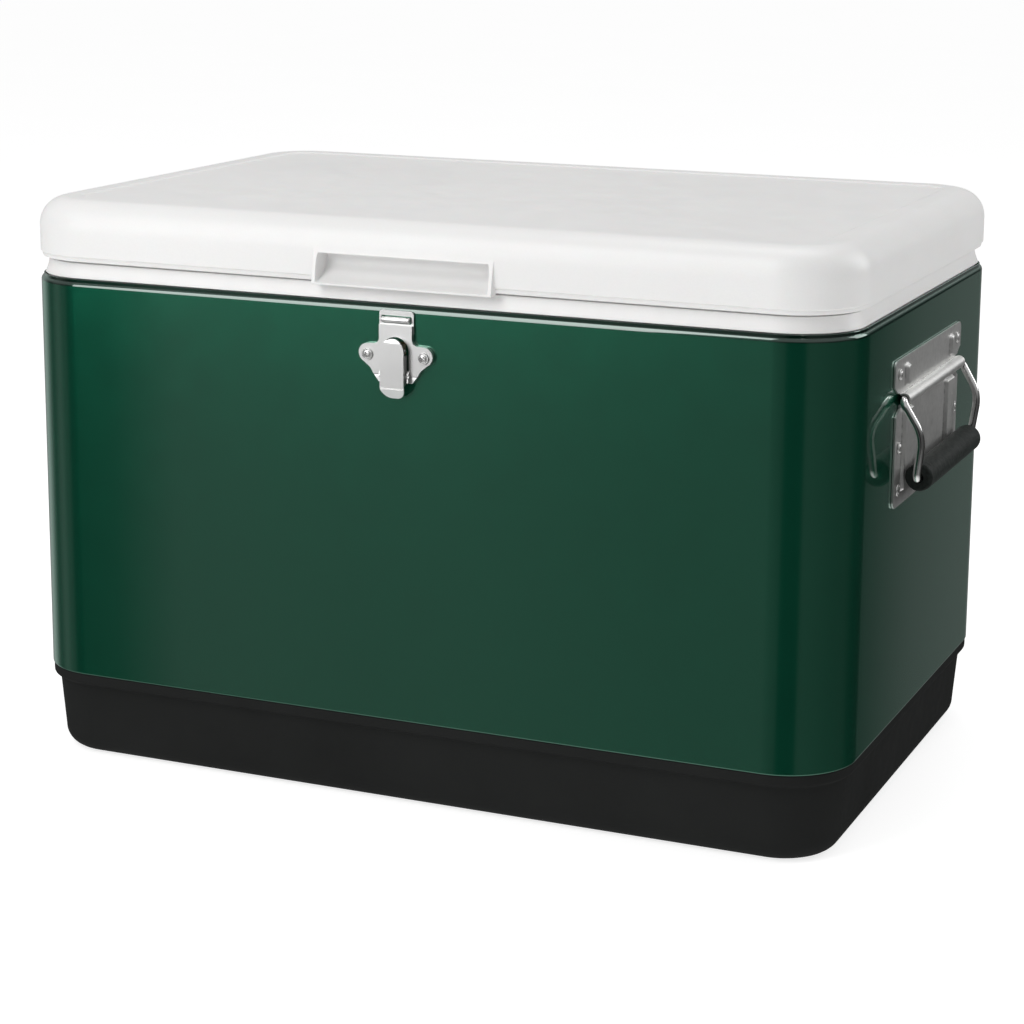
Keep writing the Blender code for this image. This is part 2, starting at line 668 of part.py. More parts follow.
def make_lever(steel):
    """The lever: a domed face with a turned-in foot, two flanges on the pin, and the hook."""
    half = LEVER_WIDTH / 2
    sheet = LEVER_SHEET
    outer = [(0.0082, LEVER_TOP), (LEVER_OUT, LEVER_TOP - 0.0020), (LEVER_OUT, LEVER_BEND)]
    outer += [(0.0080, LEVER_BEND - 0.0035), (0.0056, LEVER_FOOT)]
    inner = [(0.0046, LEVER_FOOT + 0.0006), (0.0070, LEVER_BEND - 0.0030)]
    inner += [(LEVER_OUT - sheet, LEVER_BEND), (LEVER_OUT - sheet, LEVER_TOP - 0.0024), (0.0070, LEVER_TOP)]
    lever = prism("latch_lever", outer + inner, latch_section, -half, half, steel)
    outline = arc(0, LEVER_TOP - half, half, 90, 0, 6) + arc(half - 0.0050, LEVER_FOOT + 0.0050, 0.0050, 0, -90, 4)
    trim = prism("lever_outline", mirrored(outline[1:]), on_latch, -0.002, 0.020, steel)
    combine(lever, trim, "INTERSECT")
    for side in (-1, 1):
        flange = box(0.0032, LEVER_OUT - 0.0006, 0.2385, 0.2560)
        flange[1] = (LEVER_OUT - 0.0006, 0.2350)
        name = "lever_flange_left" if side < 0 else "lever_flange_right"
        outside = side * (half - 0.0001)
        join(lever, prism(name, flange, latch_section, outside, outside - side * sheet, steel))
    tip = -STRIKER_INSET + HOOK_TIP_GAP
    hook = [(LEVER_OUT - 0.0006, 0.2585), (tip, 0.2585), (tip, 0.2595), (tip + 0.0040, 0.2620)]
    hook += [(LEVER_OUT - 0.0006, 0.2620)]
    join(lever, prism("lever_hook", hook, latch_section, -0.0040, 0.0040, steel))
    return lever


def make_latch_spring(steel):
    """A torsion spring round the latch pin, with a leg on the plate and a leg behind the lever."""
    turns, radius, wire = 3, 0.0024, 0.00035
    per_turn = 10
    pitch = 0.0011
    steps = turns * per_turn
    path = []
    for i in range(steps + 1):
        angle = 2 * math.pi * i / per_turn
        out = LEVER_PIVOT_OUT - radius * math.cos(angle)
        height = LEVER_PIVOT_Z + radius * math.sin(angle)
        path.append(Vector(on_latch(-turns * pitch / 2 + pitch * i / per_turn, height, out)))
    start = path[0] + Vector((0, 0, -0.0060))
    end = path[-1] + Vector((0, 0, 0.0080))
    return swept("latch_spring", [start] + path + [end], wire, steel, sides=5)


# Handles

def handle_outline():
    """Half of the handle plate seen from outside, for y above zero, in order from the top."""
    half = HANDLE_HALF
    axis_z = HANDLE_AXIS_Z
    points = [(half - 0.0060, HANDLE_TOP), (half - 0.0018, HANDLE_TOP - 0.0018), (half, HANDLE_TOP - 0.0060)]
    points += [(half, axis_z + 0.0100), (half - 0.0090, axis_z + 0.0045),
               (BARREL_HALF, axis_z + 0.0045), (BARREL_HALF, axis_z - 0.0065)]
    points += [(half - 0.0050, axis_z - 0.0110), (half - 0.0050, HANDLE_FOOT + 0.0100), (half - 0.0140, HANDLE_FOOT)]
    return points


def handle_section():
    """The plate's thickness and its half-round barrel, as (out, height)."""
    near, far = GAP, GAP + HANDLE_SHEET
    centre, axis_z = HANDLE_AXIS_OUT, HANDLE_AXIS_Z
    section = [(far, HANDLE_FOOT - 0.001)] + arc(centre, axis_z, BARREL_RADIUS, -130, 130, 10)
    section += [(far, HANDLE_TOP + 0.001), (near, HANDLE_TOP + 0.001), (near, axis_z + 0.0045)]
    section += arc(centre, axis_z, BARREL_BORE, 130, -130, 8)
    section += [(near, axis_z - 0.0045), (near, HANDLE_FOOT - 0.001)]
    return section


def make_handle(side, label, paint, belt, foam):
    """A pressed plate with ribs, a bail of bent wire in its barrel, and a grip moulded on the bail."""
    steel = paint["steel"]
    section, face = end_section(side), end_face(side)
    plate = prism("handle_plate_" + label, handle_section(), section, -0.095, 0.095, steel)
    trim = prism("handle_outline_" + label, mirrored(handle_outline()), face, -0.002, 0.020, steel)
    combine(plate, trim, "INTERSECT")
    for number, (low, high) in enumerate(((0.2355, 0.2515), (0.1660, 0.2200))):
        for direction in (-1, 1):
            rib = [(0.0550, low), (0.0660, low), (0.0660, high), (0.0550, high)]
            rib = [(direction * y, z) for y, z in rib]
            name = "handle_rib_%s_%d_%s" % (label, number, "front" if direction < 0 else "back")
            join(plate, prism(name, rib, face, 0.0010, 0.0026, steel))
    rows = (("top", 0.0780, 0.2460), ("middle", 0.0755, 0.1960), ("bottom", 0.0755, 0.1670))
    for row, y, height in rows:
        for direction in (-1, 1):
            seat = Vector(face(direction * y, height, GAP + HANDLE_SHEET))
            name = "handle_screw_%s_%s_%s" % (label, row, "front" if direction < 0 else "back")
            screw(name, seat, RIGHT * side, (plate, belt, foam), steel)
    corners = [(BARREL_HALF + 0.0045, HANDLE_AXIS_OUT, HANDLE_AXIS_Z)]
    corners += [(BARREL_HALF + 0.0030, KNEE_OUT, KNEE_Z), (GRIP_HALF + 0.0060, GRIP_OUT, GRIP_Z)]
    corners += [(-y, out, height) for y, out, height in reversed(corners)]
    path = [Vector(face(y, height, out)) for y, out, height in corners]
    radii = (0.0050, KNEE_RADIUS, 0.0050, 0.0050, KNEE_RADIUS, 0.0050)
    wire = rounded_path(path, radii, 3, True)
    bail = swept("bail_" + label, wire, WIRE_RADIUS, steel, closed=True)
    start = Vector(face(-GRIP_HALF, GRIP_Z, GRIP_OUT))
    long = 2 * GRIP_HALF
    bore_radius = WIRE_RADIUS + GAP
    profile = [(0, bore_radius), (0, GRIP_RADIUS - 0.0025), (0.0008, GRIP_RADIUS - 0.0008)]
    profile += [(0.0025, GRIP_RADIUS), (long - 0.0025, GRIP_RADIUS), (long - 0.0008, GRIP_RADIUS - 0.0008)]
    profile += [(long, GRIP_RADIUS - 0.0025), (long, bore_radius)]
    grip = turned("grip_" + label, profile, start, BACK, paint["black_rubber"], steps=20, hoop=True)
    hang_on("handle_axis_" + label, face(0, HANDLE_AXIS_Z, HANDLE_AXIS_OUT), (bail, grip))


# Drain

def make_drain(paint, walls):
    """A flanged spout through the left wall and its pull-out plug."""
    plastic = paint["black_plastic"]
    face = Vector((-HALF_LENGTH, 0, DRAIN_Z))
    well = WALL + WELL_DRAFT
    tube, inside, flange = DRAIN_TUBE_RADIUS, DRAIN_BORE_RADIUS, DRAIN_FLANGE_RADIUS
    profile = [(GAP, tube), (GAP, flange), (0.0026, flange), (0.0034, flange - 0.0008)]
    profile += [(0.0034, inside), (-well - 0.0060, inside), (-well - 0.0060, tube)]
    turned("drain_spout", profile, face, LEFT, plastic, steps=24, hoop=True)
    plug = [(-0.0120, 0.0035), (-0.0100, inside - GAP), (0.0037, inside - GAP), (0.0037, 0.0100)]
    plug += [(0.0090, 0.0092), (0.0102, 0.0080)]
    plug = turned("drain_plug", plug, face, LEFT, plastic, steps=24)
    bore(walls, face + RIGHT * 0.060, LEFT, tube + GAP, 0.070)
    hang_on("drain_axis", face, (plug,))


def main():
    for old in list(bpy.data.objects):
        bpy.data.objects.remove(old)
    paint = make_materials()
    base = make_base_pan(paint)
    belt = make_belt(paint)
    liner = make_liner(paint)
    foam = make_foam(paint)
    make_belt_seam(paint)
    shell = make_lid_shell(paint)
    lid_liner = make_lid_liner(paint)
    lid_foam = make_lid_foam(paint)
    striker = make_striker(paint)
    make_striker_way(paint, liner, foam, lid_liner)
    hinge_pieces = make_hinges(paint, belt, foam, shell, lid_foam)
    lever = make_latch(paint, belt, foam)
    for side, label in ((1, "right"), (-1, "left")):
        make_handle(side, label, paint, belt, foam)
    make_drain(paint, (base, belt, foam, liner))
    cut_holes(paint["steel"])
    hang_on("lid_axis", HINGE_AXIS, [shell, lid_liner, lid_foam, striker] + hinge_pieces)
    hang_on("lever_axis", on_latch(0, LEVER_PIVOT_Z, LEVER_PIVOT_OUT), (lever,))


main()
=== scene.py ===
"""Looks of the steel-belted cooler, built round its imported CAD.

Metres, +Z up, latch side to -Y. An "inset" is measured inward from the faces of the belt and an
"out" outward from them. A "height" is measured up from the belt's lower edge.
"""

import json
import math

import bmesh
import bpy
from mathutils import Matrix, Vector

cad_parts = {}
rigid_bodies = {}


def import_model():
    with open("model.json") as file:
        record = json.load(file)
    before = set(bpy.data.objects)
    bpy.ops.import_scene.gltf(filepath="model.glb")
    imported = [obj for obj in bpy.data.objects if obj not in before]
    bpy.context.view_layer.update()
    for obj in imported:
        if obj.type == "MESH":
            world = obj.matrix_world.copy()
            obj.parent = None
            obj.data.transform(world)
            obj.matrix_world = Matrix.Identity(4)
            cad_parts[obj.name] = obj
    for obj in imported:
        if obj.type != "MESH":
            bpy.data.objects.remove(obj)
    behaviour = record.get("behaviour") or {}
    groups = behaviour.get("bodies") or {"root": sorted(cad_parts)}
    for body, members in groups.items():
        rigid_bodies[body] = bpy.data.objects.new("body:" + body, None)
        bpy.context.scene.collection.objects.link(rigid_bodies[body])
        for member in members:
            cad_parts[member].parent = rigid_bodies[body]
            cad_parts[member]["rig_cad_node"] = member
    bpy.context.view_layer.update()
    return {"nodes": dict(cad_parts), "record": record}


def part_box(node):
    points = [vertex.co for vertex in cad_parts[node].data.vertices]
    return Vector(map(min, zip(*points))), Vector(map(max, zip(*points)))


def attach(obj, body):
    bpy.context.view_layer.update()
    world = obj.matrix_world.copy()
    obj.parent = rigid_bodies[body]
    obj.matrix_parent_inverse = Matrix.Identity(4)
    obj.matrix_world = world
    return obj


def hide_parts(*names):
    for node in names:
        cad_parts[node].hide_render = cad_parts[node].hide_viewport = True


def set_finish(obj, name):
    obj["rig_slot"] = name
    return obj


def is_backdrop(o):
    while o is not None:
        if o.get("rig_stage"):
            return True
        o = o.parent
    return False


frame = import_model()

# Places, read from the CAD
BELT_LOW, BELT_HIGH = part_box("steel_belt")
HALF_X, HALF_Y = BELT_HIGH.x, BELT_HIGH.y
GAP = 0.0003
BASE = BELT_LOW.z - GAP
BELT_TOP = BELT_HIGH.z
RIM_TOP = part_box("inner_liner")[1].z
LID_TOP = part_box("lid_shell")[1].z
WELL_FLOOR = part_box("inner_liner")[0].z + 0.003
LATCH_X = sum(corner.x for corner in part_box("latch_lever")) / 2
LEVER_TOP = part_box("latch_lever")[1].z - BASE
LEVER_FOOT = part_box("latch_lever")[0].z - BASE
HINGE_X = sum(corner.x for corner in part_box("hinge_pin_right")) / 2
HINGE_AXIS = sum(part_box("hinge_pin_right"), Vector()) / 2
GRIP_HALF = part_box("grip_right")[1].y
GRIP_AXIS = sum(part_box("grip_right"), Vector()) / 2
DRAIN_Z = sum(corner.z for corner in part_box("drain_spout")) / 2

# Sizes
CORNER = 0.050
CORNER_STEPS = 20
BELT_SHEET = 0.0010
SHOULDER_HEIGHT = 0.0049
SHOULDER_RADIUS = 0.0037
SHOULDER_EDGE = 0.0004
HOOK_WINDOW = (-0.0062, 0.0062, 0.2560, 0.2645)
WALL = 0.0345
WELL_DRAFT = 0.0035
WELL_CORNER = 0.040
WELL_FILLET = 0.018
LINER_SHEET = 0.0030
RIM_ROUNDING = 0.0040
DRAIN_BORE = 0.0083
LID_EDGE = 0.020
LID_PANEL_DROP = 0.0008
LID_PANEL_INSET = 0.0325
LID_SKIN = 0.3500
SCOOP_HALF = 0.0625
SCOOP_WALL = 0.0035
SCOOP_FOOT = 0.2990
STRIKER_HALF = 0.0080
STRIKER_EYE = (-0.0050, 0.0050, 0.2570, 0.2650)
LEVER_HALF = 0.0088
LEVER_OUT = 0.0095
LEVER_BEND = 0.2336
LEVER_SHEET = 0.0012
LEVER_FOOT_OUT = 0.0046
HOOK_OUT = -0.0086
HOOK_LOW, HOOK_HIGH = 0.2585, 0.2620
PIVOT_WAY = 0.0017
PIVOT_OUT = 0.0050
PIVOT_Z = 0.2415
PLATE_OUT = 0.0035
PLATE_SHEET = 0.0012
TAB_WINDOW = (-0.0112, 0.0112, 0.2765, 0.2818)
LATCH_SCREW_X = 0.0206
LATCH_SCREW_Z = 0.2548
HANDLE_AXIS_OUT = 0.0043
HANDLE_AXIS_Z = 0.2290
HANDLE_SHEET = 0.0012
RIB_HEIGHT = 0.0026
RIB_SLOPE = 0.0020
RIB_ROUNDING = 0.0030
RIBS = ((0.2355, 0.2515, 0.0605, 0.0050), (0.1640, 0.2215, 0.0575, 0.0115))
HANDLE_HALF = 0.0896
HANDLE_TOP = 0.2563
HANDLE_FOOT = 0.1550
BARREL_HALF = 0.0760
BARREL_RADIUS = 0.0044
WIRE_RADIUS = 0.00275
GRIP_RADIUS = 0.0095
KNEE_OUT = 0.0183
KNEE_Z = 0.2060
KNEE_RADIUS = 0.0280
LEAF_SHEET = 0.0015
HINGE_WIDTH = 0.060
HINGE_LEAVES = (("body", 0.3575, 0.3270, (-1, 1)), ("lid", 0.3715, 0.3870, (0,)))
HINGE_WAY = 0.0023
KNUCKLE_RADIUS = 0.0040

FRONT, BACK = Vector((0, -1, 0)), Vector((0, 1, 0))
RIGHT, LEFT = Vector((1, 0, 0)), Vector((-1, 0, 0))

slot_of = {part["node"]: part["material_slot"] for part in frame["record"]["subparts"]}
bodies = frame["record"]["behaviour"]["bodies"]
body_of = {node: body for body, nodes in bodies.items() for node in nodes}


# Meshes

def solid(name, vertices, faces, smooth_angle=38):
    """An object from world points, its faces out, smooth where they meet at a small angle."""
    mesh = bpy.data.meshes.new(name)
    mesh.from_pydata([tuple(v) for v in vertices], [], faces)
    shape = bmesh.new()
    shape.from_mesh(mesh)
    bmesh.ops.remove_doubles(shape, verts=shape.verts, dist=1e-7)
    bmesh.ops.recalc_face_normals(shape, faces=shape.faces)
    shape.to_mesh(mesh)
    shape.free()
    mesh.shade_smooth()
    mesh.set_sharp_from_angle(angle=math.radians(smooth_angle))
    piece = bpy.data.objects.new(name, mesh)
    bpy.context.scene.collection.objects.link(piece)
    return piece


def bake(piece, smooth_angle=38):
    """Replace a piece's mesh by what its modifiers make of it."""
    graph = bpy.context.evaluated_depsgraph_get()
    mesh = bpy.data.meshes.new_from_object(piece.evaluated_get(graph))
    piece.modifiers.clear()
    piece.data = mesh
    mesh.shade_smooth()
    mesh.set_sharp_from_angle(angle=math.radians(smooth_angle))
    return piece


def boolean(piece, other, operation="DIFFERENCE"):
    """Cut, join or trim a piece with another, which is then removed."""
    step = piece.modifiers.new("boolean", "BOOLEAN")
    step.operation = operation
    step.solver = "EXACT"
    step.object = other
    bake(piece)
    bpy.data.objects.remove(other)
    return piece


def bevelled(piece, width, segments=3, angle=35):
    """Round the edges of a piece and keep its flats flat."""
    step = piece.modifiers.new("bevel", "BEVEL")
    step.width = width
    step.segments = segments
    step.limit_method = "ANGLE"
    step.angle_limit = math.radians(angle)
    step.miter_outer = "MITER_ARC"
    return flattened(bake(piece, 60))


def flattened(piece):
    """Weight the normals by area, so that large flats look flat beside small fillets."""
    step = piece.modifiers.new("normals", "WEIGHTED_NORMAL")
    step.keep_sharp = True
    return piece


def stand_in(piece, *nodes):
    """The piece is shown in place of CAD nodes, and takes their body and material slot."""
    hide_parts(*nodes)
    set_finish(piece, slot_of[nodes[0]])
    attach(piece, body_of[nodes[0]])
    return piece


def cos_sin(angle):
    """The cosine and the sine of an angle in degrees."""
    return math.cos(math.radians(angle)), math.sin(math.radians(angle))


def loop(inset, height, corner=None, front=()):
    """A rounded rectangle this far inside the belt's faces, with extra points along its front."""
    radius = max(CORNER - inset, 0.004) if corner is None else corner
    points = []
    for turn, (side_x, side_y) in enumerate(((1, 1), (-1, 1), (-1, -1), (1, -1))):
        centre_x = side_x * (HALF_X - inset - radius)
        centre_y = side_y * (HALF_Y - inset - radius)
        if turn == 3:
            points += [(x, inset - HALF_Y, height) for x in front]
        for step in range(CORNER_STEPS + 1):
            c, s = cos_sin(90 * turn + 90 * step / CORNER_STEPS)
            points.append((centre_x + radius * c, centre_y + radius * s, height))
    return points


def loops(base, *places):
    """A loop for each (inset, height above the base)."""
    return [loop(inset, base + height) for inset, height in places]


def lofted(name, rings, hoop):
    """Rings joined in order. A hoop closes on itself, and anything else ends in two caps."""
    count = len(rings[0])
    faces = []
    for level in range(len(rings) if hoop else len(rings) - 1):
        lower = level * count
        upper = (level + 1) % len(rings) * count
        for i in range(count):
            j = (i + 1) % count
            faces.append((lower + i, lower + j, upper + j, upper + i))
    if not hoop:
        faces.append(tuple(range(count)))
        faces.append(tuple((len(rings) - 1) * count + i for i in range(count)))
    return solid(name, [point for ring in rings for point in ring], faces)


def frame_of(direction):
    """Two unit vectors square to a direction."""
    other = Vector((0, 0, 1)) if abs(direction.z) < 0.9 else Vector((1, 0, 0))
    across = direction.cross(other).normalized()
    return across, across.cross(direction).normalized()


def turned(name, profile, base, direction, steps=40, hoop=False):
    """A solid of revolution. The profile lists (distance along the axis, radius)."""
    across, up = frame_of(direction)
    angles = [2 * math.pi * i / steps for i in range(steps)]
    rings = []
    for along, radius in profile:
        centre = base + direction * along
        rings.append([centre + radius * (across * math.cos(a) + up * math.sin(a)) for a in angles])
    return lofted(name, rings, hoop)


def swept(name, path, radius, sides=20, closed=False):
    """A round wire along a path of points."""
    count = len(path)
    rings = []
    side = None
    for i, point in enumerate(path):
        before = path[i - 1] if closed or i else point
        after = path[(i + 1) % count] if closed or i < count - 1 else point
        heading = (after - before).normalized()
        side = side or frame_of(heading)[0]
        side = (side - heading * side.dot(heading)).normalized()
        up = heading.cross(side)
        angles = [2 * math.pi * k / sides for k in range(sides)]
        rings.append([point + radius * (side * math.cos(a) + up * math.sin(a)) for a in angles])
    return lofted(name, rings, closed)


def rounded_path(corners, radii, steps):
    """A closed path through corners, each replaced by an arc of its radius."""
    path = []
    count = len(corners)
    for i, (corner, radius) in enumerate(zip(corners, radii)):
        back = (corners[i - 1] - corner).normalized()
        ahead = (corners[(i + 1) % count] - corner).normalized()
        half = back.angle(ahead) / 2
        reach = radius / math.tan(half)
        centre = corner + (back + ahead).normalized() * (radius / math.sin(half))
        start = corner + back * reach - centre
        turn = math.pi - 2 * half
        square = start.cross(corner + ahead * reach - centre).normalized()
        for step in range(steps + 1):
            path.append(centre + Matrix.Rotation(turn * step / steps, 3, square) @ start)
    return path


def prism(name, outline, place, low, high):
    """An outline of (u, v) points pushed from low to high. place(u, v, depth) puts them."""
    count = len(outline)
    vertices = [place(u, v, low) for u, v in outline] + [place(u, v, high) for u, v in outline]
    faces = [tuple(range(count)), tuple(range(count, 2 * count))]
    for i in range(count):
        j = (i + 1) % count
        faces.append((i, j, count + j, count + i))
    return solid(name, vertices, faces)


def arc(centre_u, centre_v, radius, start, end, steps):
    angles = [math.radians(start + (end - start) * i / steps) for i in range(steps + 1)]
    return [(centre_u + radius * math.cos(a), centre_v + radius * math.sin(a)) for a in angles]


def rectangle(u_low, u_high, v_low, v_high, radius=0.0, steps=6):
    """A rectangle, with rounded corners if it is given a radius."""
    if not radius:
        return [(u_low, v_low), (u_high, v_low), (u_high, v_high), (u_low, v_high)]
    points = arc(u_high - radius, v_high - radius, radius, 0, 90, steps)
    points += arc(u_low + radius, v_high - radius, radius, 90, 180, steps)
    points += arc(u_low + radius, v_low + radius, radius, 180, 270, steps)
    return points + arc(u_high - radius, v_low + radius, radius, 270, 360, steps)


def mirrored(half):
    return half + [(-u, v) for u, v in reversed(half)]


def smooth(value):
    """0 below 0, 1 above 1, and a soft step between."""
    value = min(max(value, 0.0), 1.0)
    return value * value * (3 - 2 * value)


def on_latch(x, height, out):
    return (LATCH_X + x, -HALF_Y - out, BASE + height)


def latch_section(out, height, x):
    return on_latch(x, height, out)


def on_back(x, height, out):
    return (x, HALF_Y + out, height)


def back_section(out, height, x):
    return (x, HALF_Y + out, height)


def end_face(side):
    return lambda y, height, out: (side * (HALF_X + out), y, BASE + height)


# Chest

def make_base_pan():
    """The moulded pan under the belt, with its stepped lip and rounded foot."""
    rings = [loop(0.060, 0), loop(0.0240, 0)]
    for angle in range(8, 89, 10):
        c, s = cos_sin(angle)
        rings.append(loop(0.0225 - 0.0140 * s, 0.0140 - 0.0140 * c))
    rings += loops(0, (0.0085, 0.0145), (0.0053, 0.0528), (0.0050, 0.0538), (0.0042, 0.0548))
    rings += loops(0, (0.0020, 0.0557), (0.0013, 0.0562), (0.0009, 0.0570), (0.0008, 0.0580))
    rings += loops(BASE, (0.0008, -0.0008), (0.0011, -0.0002), (0.0018, 0))
    rings += loops(0, (0.0018, 0.0750), (0.0040, 0.0750), (0.0042, 0.0600), (0.0082, 0.0540))
    rings += loops(0, (0.0115, 0.0140), (0.0225, 0.0030), (0.060, 0.0030))
    return stand_in(flattened(lofted("base_pan_look", rings, False)), "base_pan")


def make_belt():
    """The painted sheet: a hemmed foot, a rounded shoulder, and a set-back edge above it."""
    shoulder = BELT_TOP - SHOULDER_HEIGHT
    rings = loops(BELT_LOW.z, (0.0007, 0), (0.0002, 0.0002), (0, 0.0007), (0, 0.0012))
    rings += loops(shoulder, (0, -0.0060), (0, -0.0010))
    for angle in range(0, 41, 4):
        c, s = cos_sin(angle)
        rings.append(loop(SHOULDER_RADIUS * (1 - c), shoulder + SHOULDER_RADIUS * s))
    turn_inset = SHOULDER_RADIUS * (1 - c) + SHOULDER_EDGE * c
    turn_z = shoulder + (SHOULDER_RADIUS - SHOULDER_EDGE) * s
    for angle in (50, 60, 70, 80, 90):
        c, s = cos_sin(angle)
        rings.append(loop(turn_inset - SHOULDER_EDGE * c, turn_z + SHOULDER_EDGE * s))
    wall = turn_inset + 0.0007
    foot = turn_z + SHOULDER_EDGE
    inside = wall + BELT_SHEET
    rings += loops(foot, (wall - 0.0002, 0), (wall, 0.0002), (wall, 0.0005))
    rings += loops(BELT_TOP, (wall, -0.0006), (wall, -0.0003))
    rings += loops(BELT_TOP, (wall + 0.0003, 0), (wall + 0.0007, 0))
    rings += [loop(inside, BELT_TOP - 0.0003), loop(inside, foot - BELT_SHEET)]
    rings += loops(shoulder, (BELT_SHEET + 0.0002, -0.0010), (BELT_SHEET, -0.0040))
    rings.append(loop(BELT_SHEET, BELT_LOW.z))
    belt = lofted("steel_belt_look", rings, True)
    boolean(belt, prism("window", rectangle(*HOOK_WINDOW), on_latch, -0.0080, 0.0010))
    return stand_in(flattened(belt), "steel_belt")


def make_liner():
    """The white tub, its rolled rim and the collar that shows between the belt and the lid."""
    low = WALL + WELL_DRAFT
    bottom = WELL_FLOOR - LINER_SHEET
    rings = [loop(0.110, bottom, 0.030), loop(low + WELL_FILLET, bottom, WELL_CORNER - WELL_FILLET)]
    for angle in (30, 60, 90):
        c, s = cos_sin(angle)
        reach = WELL_FILLET + LINER_SHEET
        inset = low + WELL_FILLET - reach * s
        rings.append(loop(inset, WELL_FLOOR + WELL_FILLET - reach * c, WELL_CORNER))
    under = RIM_TOP - LINER_SHEET
    rings += [loop(WALL - LINER_SHEET, under, WELL_CORNER), loop(0.0100, under)]
    rings += loops(BELT_TOP, (0.0082, -0.0075), (0.0053, -0.0075), (0.0053, GAP), (0.0036, GAP))
    rings += loops(BELT_TOP, (0.0033, 0.0006), (0.0034, 0.0012), (0.0040, 0.0026), (0.0052, 0.0060))
    rings += loops(RIM_TOP, (0.0060, -0.0014), (0.0064, -0.0005), (0.0074, 0))
    for angle in (0, 22, 45, 67, 90):
        c, s = cos_sin(angle)
        inset = WALL - RIM_ROUNDING * (1 - s)
        rings.append(loop(inset, RIM_TOP - RIM_ROUNDING * (1 - c), WELL_CORNER))
    for angle in range(90, -1, -10):
        c, s = cos_sin(angle)
        inset = low + WELL_FILLET * (1 - s)
        corner = WELL_CORNER - WELL_FILLET * (1 - s)
        rings.append(loop(inset, WELL_FLOOR + WELL_FILLET * (1 - c), corner))
    rings.append(loop(0.110, WELL_FLOOR, 0.030))
    liner = lofted("inner_liner_look", rings, False)
    pocket = rectangle(-0.0135, -0.0068, 0.2460, 0.3038)
    boolean(liner, prism("pocket", pocket, latch_section, -0.0095, 0.0095))
    drain = Vector((-HALF_X, 0, DRAIN_Z))
    boolean(liner, turned("bore", [(0, DRAIN_BORE), (0.070, DRAIN_BORE)], drain, RIGHT))
    return stand_in(flattened(liner), "inner_liner")


def make_belt_seam():
    """The strip over the joint in the belt, up the middle of the back."""
    outline = rectangle(-0.009, 0.009, BASE + 0.001, BELT_TOP - 0.0062)
    seam = prism("belt_seam_look", outline, on_back, GAP, 0.0012)
    return stand_in(bevelled(seam, 0.0004), "belt_seam")


# Lid

def lid_columns():
    """Places along the lid's front, closer together where the scoop's side walls turn."""
    columns = []
    for middle in (SCOOP_HALF, SCOOP_HALF + SCOOP_WALL):
        columns += [middle + 0.00022 * step for step in range(-4, 5)]
    columns += [0.030, 0.055, 0.059]
    return sorted([-x for x in columns] + [0.0] + columns)


def lid_section(x):
    """The lid's front at x as (out, height): plain, a side wall of the scoop, or the scoop."""
    skirt = RIM_TOP - BASE + 0.0012
    edge = LID_TOP - BASE - LID_EDGE
    count = 16
    plain = [(0.0, edge - (edge - skirt - 0.0044) * i / (count - 1)) for i in range(count)]
    plain += [(-0.0001, skirt + 0.0038), (-0.0013, skirt + 0.0031), (-0.0013, skirt + 0.0014)]
    plain += [(-0.0018, skirt + 0.0004), (-0.0030, skirt), (-0.0080, skirt)]
    plain += [(-0.0050, skirt + 0.0035), (-0.0034, skirt + 0.0075)]
    plain += [(-0.0031, 0.3130), (-0.0030, 0.3200), (-0.0030, edge)]
    last = count - 2
    wall = [(0.0040 * i / last, edge - (edge - 0.3010) * i / last) for i in range(count - 1)]
    wall += [(0.0040, 0.3004), (0.0040, 0.2999)]
    scoop = [(0.0, edge), (0.0003, 0.3210), (0.0004, 0.3206), (0.0002, 0.3202), (-0.0004, 0.3200)]
    scoop += [(-0.0096, 0.3197), (-0.0112, 0.3190), (-0.0120, 0.3174), (-0.0120, 0.3140)]
    scoop += [(-0.0113, 0.3110), (-0.0094, 0.3084), (-0.0060, 0.3056), (-0.0020, 0.3031)]
    scoop += [(0.0012, 0.3014), (0.0028, 0.3009), (0.0036, 0.3007), (0.0040, 0.3002)]
    shared = [(0.0039, 0.2994), (0.0034, SCOOP_FOOT), (0.0026, SCOOP_FOOT), (-0.0024, SCOOP_FOOT)]
    shared += [(-0.0024, 0.3022), (-0.0062, 0.3028), (-0.0118, 0.3070)]
    shared += [(-0.0155, 0.3130), (-0.0155, 0.3225), (-0.0034, edge)]
    wall += shared
    scoop += shared
    in_scoop = smooth((SCOOP_HALF - abs(x)) / 0.0016 + 0.5)
    in_block = smooth((SCOOP_HALF + SCOOP_WALL - abs(x)) / 0.0010 + 0.5)
    section = []
    for (u0, v0), (u1, v1), (u2, v2) in zip(plain, wall, scoop):
        u, v = u1 + (u2 - u1) * in_scoop, v1 + (v2 - v1) * in_scoop
        section.append((u0 + (u - u0) * in_block, v0 + (v - v0) * in_block))
    return section


